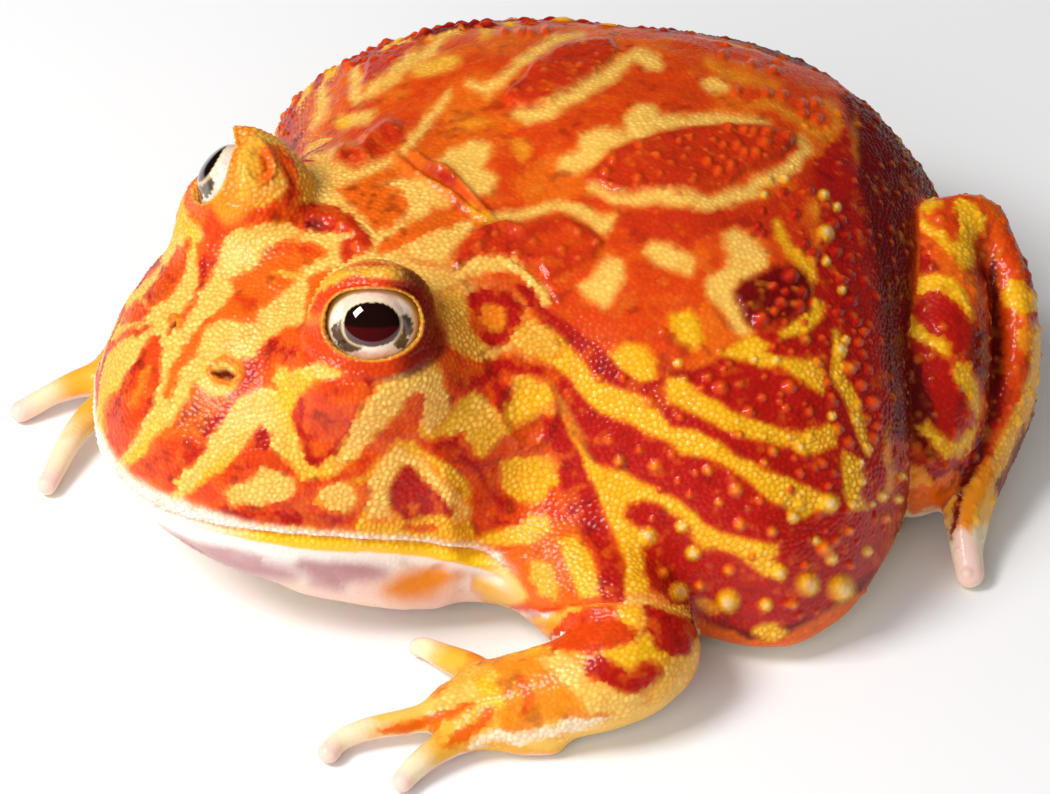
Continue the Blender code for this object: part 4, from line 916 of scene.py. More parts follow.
def surface_net(grid):
    """Vertices and quads of the field's zero surface, one vertex in each crossed cell."""
    field = grid.field
    inside = field < 0
    total = np.zeros(np.array(field.shape) - 1, np.int8)
    corners = [(i, j, k) for i in (0, 1) for j in (0, 1) for k in (0, 1)]
    nx, ny, nz = total.shape
    for i, j, k in corners:
        total += inside[i:i + nx, j:j + ny, k:k + nz]
    cells = np.argwhere((total > 0) & (total < 8))
    ids = np.full(total.shape, -1, np.int32)
    ids[tuple(cells.T)] = np.arange(len(cells))
    places = np.zeros((len(cells), 3))
    weights = np.zeros(len(cells))
    for a in corners:
        for axis in range(3):
            if a[axis]:
                continue
            b = list(a)
            b[axis] = 1
            fa = field[tuple((cells + a).T)]
            fb = field[tuple((cells + b).T)]
            cross = (fa < 0) != (fb < 0)
            t = np.where(cross, fa / np.where(cross, fa - fb, 1), 0)
            point = np.tile(np.array(a, float), (len(cells), 1))
            point[:, axis] = t
            places += point * cross[:, None]
            weights += cross
    vertices = (cells + places / weights[:, None]) * grid.step + grid.low
    quads = []
    for axis in range(3):
        u, v = [a for a in range(3) if a != axis]
        first = [slice(1, -1)] * 3
        second = [slice(1, -1)] * 3
        first[axis] = slice(0, -1)
        second[axis] = slice(1, None)
        a = inside[tuple(first)]
        b = inside[tuple(second)]
        edges = np.argwhere(a != b)
        outward = a[tuple(edges.T)]
        start = edges + 1
        start[:, axis] -= 1
        around = []
        for du, dv in ((-1, -1), (0, -1), (0, 0), (-1, 0)):
            cell = start.copy()
            cell[:, u] += du
            cell[:, v] += dv
            around.append(ids[tuple(cell.T)])
        quad = np.stack(around, 1)
        flip = outward if axis != 1 else ~outward
        quad[~flip] = quad[~flip][:, ::-1]
        quads.append(quad)
    return vertices, np.concatenate(quads)


class Skin:
    """Vertices and quads as arrays, with the few operations that the relief needs."""

    def __init__(self, points, quads):
        self.points = points
        self.quads = quads
        self.edge_a = quads.ravel()
        self.edge_b = np.roll(quads, -1, axis=1).ravel()
        self.count = len(points)
        self.degree = np.bincount(self.edge_a, minlength=self.count) + np.bincount(
            self.edge_b, minlength=self.count)

    def averaged(self, values):
        """Mean of each vertex's neighbours."""
        if values.ndim == 1:
            total = np.bincount(self.edge_a, values[self.edge_b], self.count)
            total += np.bincount(self.edge_b, values[self.edge_a], self.count)
            return total / self.degree
        return np.stack([self.averaged(values[:, k]) for k in range(values.shape[1])], 1)

    def smooth(self, rounds, share=0.5):
        for _ in range(rounds):
            self.points += (self.averaged(self.points) - self.points) * share

    def normals(self):
        p = self.points[self.quads]
        face = np.cross(p[:, 2] - p[:, 0], p[:, 3] - p[:, 1])
        total = np.stack([sum(np.bincount(self.quads[:, c], face[:, k], self.count) for c in range(4))
                          for k in range(3)], 1)
        return total / np.maximum(np.linalg.norm(total, axis=1), 1e-9)[:, None]


def eye_axes(side):
    """Level, rising and outward axes of the gaze."""
    gaze = mirrored(GAZE, side)
    level = Vector((0, 0, 1)).cross(gaze).normalized()
    return level, gaze.cross(level), gaze


def lid_oval(across, up):
    """1 along the edge of the lids, less inside."""
    power = np.where(up > 0, UPPER_LID_POWER, 2.0)
    return ((np.abs(across) / OPENING[0]) ** power + (np.abs(up) / OPENING[1]) ** power) ** (1 / power)


def add_eyelids(grid, side):
    """A mound and a lid dome round the eyeball, a peaked brow, and the opening for the eye."""
    centre = EYE_CENTRE[side]
    window, x, y, z = grid.around(centre, LID_ROOM)
    field = grid.field[window]
    mound = blob_distance(x, y, z, centre - Vector((0, 0, MOUND_DROP)), LID_MOUND[side])
    field = smooth_union(field, mound, MOUND_BLEND)
    field = smooth_union(field, blob_distance(x, y, z, centre, (LID_DOME[side],) * 3), DOME_BLEND)
    crest = centre - mirrored(GAZE, side) * CREST_BACK + Vector((0, 0, CREST_RISE))
    field = smooth_union(field, blob_distance(x, y, z, crest, LID_CREST[side]), CREST_BLEND)
    root, tip = (centre + Vector(p) for p in BROW[side])
    for k in range(BROW_STEPS):
        share = k / (BROW_STEPS - 1)
        taper = (1 - share) ** BROW_TAPER + BROW_BLUNTNESS
        bead = blob_distance(x, y, z, root.lerp(tip, share), [radius * taper for radius in BROW_RADII])
        field = smooth_union(field, bead, BROW_BLEND)
    dx, dy, dz = x - centre.x, y - centre.y, z - centre.z
    across, up, out = (dx * a.x + dy * a.y + dz * a.z for a in eye_axes(side))
    opening = np.maximum((lid_oval(across, up) - 1) * OPENING[1], OPENING_DEPTH - out)
    field = smooth_cut(field, opening.astype(np.float32), OPENING_BLEND)
    ball = np.sqrt(dx**2 + dy**2 + dz**2) - EYE_RADIUS - SOCKET_GAP
    grid.field[window] = smooth_cut(field, ball.astype(np.float32), SOCKET_BLEND)


def add_heel(grid, side):
    """Skin that joins the end of the shank to the start of the foot."""
    leg = LEGS[side]
    middle = (Vector(leg["shank"][-1][:3]) + Vector(leg["foot"][0][:3])) / 2
    centre = mirrored(middle, side)
    window, x, y, z = grid.around(centre, HEEL_ROOM)
    pad = blob_distance(x, y, z, centre, HEEL_PAD)
    grid.field[window] = smooth_union(grid.field[window], pad, HEEL_BLEND)


def frog_field():
    """The whole animal but its eyeballs, as one distance field."""
    grid = Grid(GRID_LOW, GRID_HIGH, VOXEL)
    for start in range(0, grid.count[0], SLAB):
        part = slice(start, min(start + SLAB, grid.count[0]))
        x = grid.axes[0][part].astype(np.float32)[:, None, None]
        y = grid.axes[1].astype(np.float32)[None, :, None]
        z = grid.axes[2].astype(np.float32)[None, None, :]
        grid.field[part] = trunk_distance(x, y, z)
    for side in ("left", "right"):
        leg = LEGS[side]
        add_limb(grid, [leg["thigh"], leg["shank"]], side, *LEG_BLENDS)
        add_limb(grid, [leg["foot"], *leg["toes"]], side, *FOOT_BLENDS)
        add_heel(grid, side)
        arm = ARMS[side]
        add_limb(grid, [arm["upper_arm"]], side, *UPPER_ARM_BLENDS)
        add_limb(grid, [arm["forearm"], arm["hand"], *arm["fingers"]], side, *HAND_BLENDS)
        add_eyelids(grid, side)
    window, x, y, z = grid.window(GRID_LOW, (*GRID_HIGH[:2], 3))
    grid.field[window] = np.maximum(grid.field[window], -z + 0 * x + 0 * y)
    return grid


def trunk_distance(x, y, z):
    return smooth_union(torso_distance(x, y, z), head_distance(x, y, z), TRUNK_BLEND).astype(np.float32)


def pixels(points):
    """Where points land in the photograph: pixel columns and rows, and depth."""
    right = np.array((math.cos(TURN), math.sin(TURN), 0.0))
    back = np.array(TOWARDS_CAMERA)
    up = np.cross(back, right)
    offset = points - np.array(TARGET)
    depth = DISTANCE - offset @ back
    spots = np.stack([FRAME_WIDTH / 2 + FOCAL_PIXELS * (offset @ right) / depth,
                      FRAME_HEIGHT / 2 - FOCAL_PIXELS * (offset @ up) / depth], 1)
    return spots, depth


class View:
    """Tells which points of the skin the camera sees, from the depths of the skin's own vertices."""

    cell = 4
    margin = 20
    depth_slack = 2.0

    def __init__(self, points):
        spots, depth = pixels(points)
        self.shape = tuple(size // self.cell + 2 * self.margin for size in (FRAME_WIDTH, FRAME_HEIGHT))
        self.nearest = np.full(self.shape, 1e9)
        np.minimum.at(self.nearest, self.cells(spots), depth)

    def cells(self, spots):
        i = np.clip((spots / self.cell).astype(int) + self.margin, 0, np.array(self.shape) - 1)
        return i[:, 0], i[:, 1]

    def sees(self, points, normals):
        """Pixels of the points and how squarely each faces the camera, 0 where it is hidden."""
        spots, depth = pixels(points)
        facing = normals @ np.array(TOWARDS_CAMERA)
        open_to = depth < self.nearest[self.cells(spots)] + self.depth_slack
        return spots, np.where(open_to, np.clip(facing, 0, 1), 0)


def lattice_random(cells, salt):
    """Repeatable numbers in 0..1 for whole-number lattice points."""
    mixed = (cells[..., 0] * 374761393 + cells[..., 1] * 668265263 + cells[..., 2] * 1440662683
             + salt * 974634777) & 0xFFFFFFFF
    mixed = ((mixed ^ (mixed >> 13)) * 1274126177) & 0xFFFFFFFF
    return ((mixed ^ (mixed >> 16)) & 0xFFFFFF) / 0xFFFFFF


def random_of(ids, salt):
    """The same for plain whole numbers."""
    return lattice_random(np.stack([ids] * 3, 1), salt)


def noise(points, size, salt):
    """Smooth noise in -1..1 whose lumps are about size millimetres wide."""
    scaled = points / size
    base = np.floor(scaled).astype(np.int64)
    part = scaled - base
    part = part * part * (3 - 2 * part)
    total = np.zeros(len(points))
    for corner in range(8):
        step = np.array([(corner >> a) & 1 for a in range(3)])
        weight = np.prod(np.where(step, part, 1 - part), axis=1)
        total += weight * lattice_random(base + step, salt)
    return total * 2 - 1


def trunk_zone(points, part, start, full):
    """Share of the trunk along y: 0 at start, 1 at full."""
    return ramp(points[:, 1], start, full) * (part == 0)


def layers(name, points):
    """The sum of the named noises."""
    return sum(share * noise(points, size, salt) for share, size, salt in NOISES[name])


def seeds(points, spacing, salt):
    """Indices of points at least their spacing apart, picked in a repeatable shuffle."""
    order = np.argsort(random_of(np.arange(len(points)), salt), kind="stable")
    cell = float(spacing.max())
    homes = np.floor(points / cell).astype(int)
    kept = {}
    chosen = []
    neighbours = [(i, j, k) for i in (-1, 0, 1) for j in (-1, 0, 1) for k in (-1, 0, 1)]
    for index in order:
        hx, hy, hz = (int(v) for v in homes[index])
        px, py, pz = points[index]
        limit = spacing[index] ** 2
        free = True
        for i, j, k in neighbours:
            for qx, qy, qz in kept.get((hx + i, hy + j, hz + k), ()):
                if (px - qx) ** 2 + (py - qy) ** 2 + (pz - qz) ** 2 < limit:
                    free = False
                    break
            if not free:
                break
        if free:
            kept.setdefault((hx, hy, hz), []).append((px, py, pz))
            chosen.append(int(index))
    return np.array(chosen)


def stroke_distance(spots, line):
    """Distance from each spot to a bent line, and how far along it the nearest point is, 0..1."""
    best = np.full(len(spots), 1e9)
    along = np.zeros(len(spots))
    count = len(line) - 1
    for k in range(count):
        a, b = line[k], line[k + 1]
        way = b - a
        t = np.clip(((spots - a) @ way) / max(way @ way, 1e-9), 0, 1)
        gap = spots - (a + t[:, None] * way)
        d = np.sqrt((gap**2).sum(1))
        closer = d < best
        best = np.where(closer, d, best)
        along = np.where(closer, (k + t) / count, along)
    return best, along


def outline_distance(spots, outline):
    """Signed distance from each spot to a closed outline, negative inside."""
    line = np.concatenate([outline, outline[:1]])
    distance, _ = stroke_distance(spots, line)
    inside = np.zeros(len(spots), bool)
    for a, b in zip(line, line[1:]):
        if a[1] == b[1]:
            continue
        crosses = (a[1] > spots[:, 1]) != (b[1] > spots[:, 1])
        where = a[0] + (spots[:, 1] - a[1]) * (b[0] - a[0]) / (b[1] - a[1])
        inside ^= crosses & (spots[:, 0] < where)
    return np.where(inside, -distance, distance)


class Canvas:
    """Colour and relief of skin points, laid on where each point shows in the photograph."""

    def __init__(self, spots, colour, usable):
        self.soft = 6.0
        self.spots = spots
        self.colour = colour
        self.height = np.zeros(len(spots))
        self.usable = usable
        self.order = np.argsort(spots[:, 0], kind="stable")
        self.columns = spots[self.order, 0]

    def near(self, low, high):
        i, j = np.searchsorted(self.columns, (low[0], high[0]))
        ids = self.order[i:j]
        rows = self.spots[ids, 1]
        return ids[(rows > low[1]) & (rows < high[1]) & self.usable[ids]]

    def mask(self, line, width, soft, closed=False):
        """Ids near a stroke or patch and how strongly each is covered."""
        line = np.array(line, float).reshape(-1, 2)
        reach = width / 2 + soft + 1
        ids = self.near(line.min(0) - reach, line.max(0) + reach)
        if closed:
            distance = outline_distance(self.spots[ids], line)
            return ids, ramp(-distance, -soft / 2, soft / 2)
        distance, along = stroke_distance(self.spots[ids], line)
        half = width / 2 * (1 - 0.45 * np.abs(2 * along - 1) ** 4)
        return ids, ramp(half - distance, -soft / 2, soft / 2)

    def tint(self, ids, cover, colour):
        self.colour[ids] = laid_over(self.colour[ids], cover, colour)

    def stroke(self, kind, width, *line):
        self.tint(*self.mask(line, width, self.soft), INK[kind])

    def patch(self, kind, *outline):
        if kind in RIMMED:
            ids, cover = self.mask(outline, 0, self.soft * 2.2, True)
            self.tint(ids, ramp(cover, 0.0, 0.5) * 0.55, INK["orange"])
        self.tint(*self.mask(outline, 0, self.soft, True), INK[kind])

    def ridge(self, height, width, *line):
        """A raised or, with a negative height, sunken line with a round profile."""
        line = np.array(line, float).reshape(-1, 2)
        ids = self.near(line.min(0) - 2 * width, line.max(0) + 2 * width)
        distance, along = stroke_distance(self.spots[ids], line)
        fade = ramp(along, -0.05, 0.15) * ramp(1 - along, -0.05, 0.15)
        self.height[ids] += fade * humps(distance, ((height, 0, width / 2),))

    def plateau(self, height, soft, *outline):
        ids, cover = self.mask(outline, 0, soft, True)
        self.height[ids] += height * cover

    def warts(self, kind, rise, *dots):
        """Domed warts: x, y and radius in pixels of each."""
        for x, y, radius in np.array(dots, float).reshape(-1, 3):
            ids = self.near((x - radius * 1.6, y - radius * 1.6), (x + radius * 1.6, y + radius * 1.6))
            gap = np.sqrt(((self.spots[ids] - (x, y)) ** 2).sum(1)) / radius
            dome = ramp(gap, 1.25, 0.1)
            self.height[ids] = np.maximum(self.height[ids], rise * radius / PIXELS_PER_MM * dome)
            if kind:
                self.tint(ids, ramp(gap, 1.3, 0.5) * 0.9, INK[kind])
                self.tint(ids, ramp(gap, 0.7, 0.1) * 0.5, INK[WART_TIP.get(kind, "vermilion")])


def limb_samples(path, side, count=28):
    """Centres, axes and radii at even steps of a limb piece."""
    rows = limb_rows(path, side, count)
    axes = np.array([[list(axis) for axis in axes_at(rows, i)] for i in range(count)])
    return rows[:, :3], axes, np.stack([rows[:, 3], rows[:, 4], rows[:, 3:5].min(1)], 1)


PART_OF = {"arm": 1, "leg": 2}
LIMB_PIECES = (("arm", "upper_arm"), ("arm", "forearm"), ("arm", "hand"), ("leg", "thigh"),
               ("leg", "shank"), ("leg", "foot"))
# The palm's digit share lies below that of a finger's root, so no finger colour reaches it.
PALM_SHARE = -0.5


def limb_paths(side):
    """(limb, piece, path) of every limb piece of one side."""
    both = {"arm": ARMS[side], "leg": LEGS[side]}
    found = [(limb, piece, both[limb][piece]) for limb, piece in LIMB_PIECES]
    found += [("arm", f"finger_{i}", path) for i, path in enumerate(ARMS[side]["fingers"], 1)]
    found += [("leg", f"toe_{i}", path) for i, path in enumerate(LEGS[side]["toes"], 1)]
    return found


def sort_parts(points):
    """For each point: 0 trunk, 1 arm, 2 leg; its digit share; and its place on the left limb."""
    x, y, z = points.T
    nearest = np.abs(trunk_distance(x, y, z)).astype(float)
    part = np.zeros(len(points), int)
    digit = np.zeros(len(points))
    partner = points.copy()
    partner[:, 0] = np.abs(points[:, 0])
    for side in ("left", "right"):
        others = {(limb, piece): path for limb, piece, path in limb_paths("left")}
        for limb, piece, path in limb_paths(side):
            centres, axes, radii = limb_samples(path, side)
            left_centres, left_axes, left_radii = limb_samples(others[(limb, piece)], "left")
            reach = radii.max() + 3
            low, high = centres.min(0) - reach, centres.max(0) + reach
            ids = np.flatnonzero(((points > low) & (points < high)).all(1))
            best = np.full(len(ids), 1e9)
            at = np.zeros(len(ids), int)
            local = np.zeros((len(ids), 3))
            for k in range(len(centres)):
                here = (points[ids] - centres[k]) @ axes[k].T
                scaled = here / radii[k]
                length = np.sqrt((scaled**2).sum(1))
                distance = np.abs(length - 1) * radii[k].min()
                closer = distance < best
                best = np.where(closer, distance, best)
                at = np.where(closer, k, at)
                local = np.where(closer[:, None], scaled, local)
            take = best < nearest[ids] - 0.05
            chosen = ids[take]
            nearest[chosen] = best[take]
            part[chosen] = PART_OF[limb] if piece != "upper_arm" else 0
            if piece[-1].isdigit():
                digit[chosen] = at[take] / len(centres)
            else:
                digit[chosen] = PALM_SHARE if piece == "hand" else 0.0
            turn = np.array((-1.0 if side == "right" else 1.0, 1.0, 1.0))
            offset = local[take] * turn * left_radii[at[take]]
            partner[chosen] = left_centres[at[take]] + np.einsum("ij,ijk->ik", offset, left_axes[at[take]])
    return part, digit, partner


def linear(colour):
    """Linear light of an sRGB colour given as 0..255."""
    share = np.array(colour, float) / 255
    return np.where(share <= 0.04045, share / 12.92, ((share + 0.055) / 1.055) ** 2.4)


INK = {name: linear(colour) for name, colour in INK_SRGB.items()}
IRIS = {name: linear(colour) for name, colour in IRIS_SRGB.items()}
# The skin between granules is painted redder and darker, partly its own colour and partly painted shade, and
# many granules have a light tip that is a painted highlight.
GROOVE_SHADE_TINT = np.array((0.86, 0.5, 0.4))
TIP_HIGHLIGHT_COLOUR = linear((255, 226, 150))


def mixed(colours, covers):
    """Lays colours over one another, each by its own cover."""
    total = np.tile(colours[0], (len(covers[0]), 1))
    for colour, cover in zip(colours[1:], covers):
        total = laid_over(total, cover, colour)
    return total


def ground_colour(points, normals, part, digit, unseen):
    """Skin colour before the traced markings; veins of yellow only where the photograph shows nothing."""
    _, y, z = points.T
    broad = layers("broad", points)
    veins = np.abs(layers("veins", points))
    fine = layers("fine", points)
    top = ramp(normals[:, 2] + 0.08 * broad, 0.45, 0.85)
    ahead = ramp(-y + 2.0 * broad, 10, 19) * (part == 0)
    below_lip = ramp(spline(MOUTH_HEIGHT, y) - z + 0.4 * fine, 0.4, 1.6) * trunk_zone(points, part, *THROAT)
    colour = mixed([INK["deep"], INK["red"]], [ramp(broad, -0.3, 0.5)])
    warm = mixed([INK["vermilion"], INK["orange"]], [ramp(broad, -0.2, 0.4)])
    colour = laid_over(colour, top, warm)
    colour = laid_over(colour, ARM_AMBER * (part == 1), INK["amber"])
    streak = ramp(veins + 0.06 * fine, 0.15, 0.08) * (0.85 - 0.45 * top) * unseen
    colour = laid_over(colour, streak, laid_over(INK["yellow"], top, INK["amber"]))
    face = mixed([INK["yellow"], INK["cream"], INK["amber"]],
                 [ramp(normals[:, 2], 0.3, 0.8), ramp(broad, 0.5, 0.9) * 0.6])
    colour = laid_over(colour, ahead, face)
    throat = mixed([INK["white"], INK["mauve"]], [ramp(broad + 0.4 * fine, 0.15, 0.6) * 0.7])
    colour = laid_over(colour, below_lip, throat)
    for kind, start, end in DIGIT_INKS:
        colour = laid_over(colour, ramp(digit + 0.05 * fine, start, end), INK[kind])
    under = ramp(-normals[:, 2] + 0.1 * broad, 0.15, 0.45)
    belly = mixed([INK["pale"], INK["pink"]], [ramp(broad, -0.2, 0.5)])
    return laid_over(colour, under, belly)


def paint_marks(canvas, marks, soft):
    canvas.soft = soft
    for kind, width, *line in marks:
        if width:
            canvas.stroke(kind, width, *line)
        else:
            canvas.patch(kind, *line)


def mouth_share(canvas, points, part):
    """1 along the jaws, fading to 0 at the mouth's corner."""
    return trunk_zone(points, part, *JAWS) * ramp(canvas.spots[:, 0], *MOUTH_FADES)


def paint_lips(canvas, points, rise, part):
    """White upper lip and golden lower lip along the mouth's line."""
    mouth = mouth_share(canvas, points, part)
    level = rise + layers("lip edge", points)
    tip = ramp(-points[:, 1], 44, 50)
    thick = 0.5 + 1.2 * ramp(-points[:, 1], 50, 40)
    everywhere = np.arange(len(points))
    above = ramp(rise, -0.1, 0.1)
    upper = mouth * above
    canvas.tint(everywhere, upper * ramp(level, 1.7 + 1.4 * tip, 0.5 + tip) * 0.9, INK["pale"])
    canvas.tint(everywhere, upper * ramp(level, 1.3 + 1.2 * tip, 0.3 + tip) * 0.8, INK["white"])
    canvas.tint(everywhere, mouth * (1 - above) * ramp(level, -4.4, -2.2), INK["white"])
    gold = mouth * (1 - above) * ramp(level, -0.5 - thick, 0.1 - thick) * (1 - 0.9 * tip)
    canvas.tint(everywhere, gold, INK["gold"])
    canvas.tint(everywhere, mouth * humps(rise, ((0.8, 0, 0.14),)) * (1 - 0.8 * tip), INK["amber"])


def add_wild_warts(canvas, shape, points, normals, part, chosen, seen):
    """Small warts strewn over flanks, rump, raised patches and shanks; returns their height."""
    flank = ramp(normals[:, 2], 0.97, 0.75) * trunk_zone(points, part, -6, 6) * ramp(points[:, 2], 3, 8)
    patches = ramp(shape.height, 0.2, 0.4) * (part == 0)
    likes = np.maximum(flank * np.where(seen, 0.35, 1.0), 0.8 * patches)
    likes = np.maximum(likes, 0.5 * (part == 2) * ramp(normals[:, 2], -0.2, 0.2))
    lucky = chosen[random_of(chosen, 9) < WILD_SHARE * likes[chosen]]
    lucky = lucky[canvas.height[lucky] < 0.05]
    kept = lucky[seeds(points[lucky], np.full(len(lucky), WART_SPACING), 10)]
    tree = tree_of(points[kept])
    height = np.zeros(len(points))
    tip = np.zeros(len(points))
    radius = WILD_RADIUS * (0.35 + 0.4 * random_of(kept, 12))
    for index in np.flatnonzero(likes > 0.02):
        _, i, gap = tree.find(points[index])
        if gap < radius[i]:
            height[index] = WILD_HEIGHT / WILD_RADIUS * radius[i] * (1 - (gap / radius[i]) ** 2) ** 1.5
            tip[index] = 1 - gap / radius[i]
    shape.height = np.maximum(shape.height, shape.height * 0.8 + height)
    warm = INK["amber"] * 0.7 + INK["vermilion"] * 0.3
    lighter = np.maximum(canvas.colour, warm)
    canvas.colour[:] = laid_over(canvas.colour, ramp(tip, 0.2, 0.9) * 0.35, lighter)
    return height


def dress_lids(canvas, points, warp_at, smoothness):
    """Paints and smooths the skin round both eyes; returns its relief."""
    lids = np.zeros(len(points))
    for side in ("left", "right"):
        offset = points - np.array(EYE_CENTRE[side])
        ids = np.flatnonzero((offset**2).sum(1) < LID_REACH**2)
        across, up, out = (offset[ids] @ np.array(axis) for axis in eye_axes(side))
        edge = (lid_oval(across, up) - 1) * OPENING[1]
        near = ramp(out, -1.5, 1.5)
        upper = ramp(up, -0.5, 1.8)
        wavy = edge + layers("lid folds", points[ids])
        lids[ids] += near * (humps(wavy, UPPER_LID_HUMPS) + humps(edge, LID_GROOVE)) * upper
        lids[ids] += near * humps(wavy, LOWER_LID_HUMPS) * (1 - upper)
        smoothness[ids] = np.maximum(smoothness[ids], near * ramp(edge, 3.4, 1.6))
        fray = edge + layers("lid edges", warp_at[ids])
        canvas.tint(ids, near * ramp(fray, 2.1, 1.1) * 0.85 * (1 - upper), INK["vermilion"])
        inner = "vermilion" if side == "left" else "amber"
        for kind, start, full in (("orange", 3.6, 2.8), ("honey", 2.6, 2.0), (inner, 1.3, 0.9)):
            canvas.tint(ids, near * ramp(fray, start, full) * upper, INK[kind])
        # Painted shade: deep red in the crease at the rear corner of the left eye.
        if side == "left":
            canvas.tint(ids, near * ramp(fray, 3.0, 2.0) * ramp(across, 1.5, 4.2) * 0.9, INK["deep"])
        canvas.tint(ids, near * ramp(edge, 0.32, 0.12) * 0.7, INK["honey"])
    return lids


def nearest_granules(points, chosen):
    """Distances from each point to the two nearest granules, and the number of the nearest."""
    tree = tree_of(points[chosen])
    first = np.zeros(len(points))
    second = np.zeros(len(points))
    owner = np.zeros(len(points), int)
    for i, point in enumerate(points.tolist()):
        (_, a, near_a), (_, _, near_b) = tree.find_n(point, 2)
        first[i], second[i], owner[i] = near_a, near_b, a
    return first, second, owner


def mirrored_spots(points, normals, partner):
    """Pixels and facing of each point, or those of its mirrored counterpart where only that one shows."""
    view = View(points)
    spots, facing = view.sees(points, normals)
    turned = normals * np.where(points[:, :1] < 0, (-1.0, 1.0, 1.0), (1.0, 1.0, 1.0))
    partner_spots, partner_facing = view.sees(partner, turned)
    swap = (facing < SWAP_BELOW + layers("swap", points)) & (partner_facing > facing)
    return np.where(swap[:, None], partner_spots, spots), np.where(swap, partner_facing, facing), swap


def lay_trunk_marks(canvas, spots, steady, warp):
    """Traced markings of the trunk and the painted shade among them; those of the head follow the granules
    most closely.
    """
    canvas.spots = spots + warp * BACK_WARP
    paint_marks(canvas, BACK_MARKS, SOFTNESS["back"])
    paint_marks(canvas, FLANK_MARKS, SOFTNESS["flank"])
    paint_marks(canvas, RUMP_GAP_SHADE, SOFTNESS["rump"])
    canvas.spots = steady + warp
    paint_marks(canvas, HEAD_MARKS, SOFTNESS["head"])
    canvas.spots = spots + warp * LIP_WARP
    paint_marks(canvas, LIP_MARKS, SOFTNESS["lip"])
    paint_marks(canvas, THROAT_MARKS, SOFTNESS["throat"])


def lay_limb_marks(canvas, spots, seen, part):
    """Traced markings of the leg, with painted shade along its front edge, and of the arm with the shoulder
    above it.
    """
    canvas.usable = seen & (part == 2)
    paint_marks(canvas, LEG_MARKS, SOFTNESS["limb"])
    shoulder = (spots[:, 1] > ARM_TOP) & (spots[:, 0] > ARM_COLUMNS[0]) & (spots[:, 0] < ARM_COLUMNS[1])
    canvas.usable = seen & ((part == 1) | (part == 0) & shoulder)
    paint_marks(canvas, ARM_MARKS, SOFTNESS["limb"])


def traced_relief(canvas, shape):
    """Warts on both canvases, ridges and raised patches on the one that is shape alone."""
    for kind, height, *dots in WARTS:
        canvas.warts(kind, height, *dots)
        shape.warts(None, height, *dots)
    for height, width, *line in RIDGES:
        shape.ridge(height, width, *line)
    for height, soft, *outline in PLATEAUS:
        shape.plateau(height, soft, *outline)


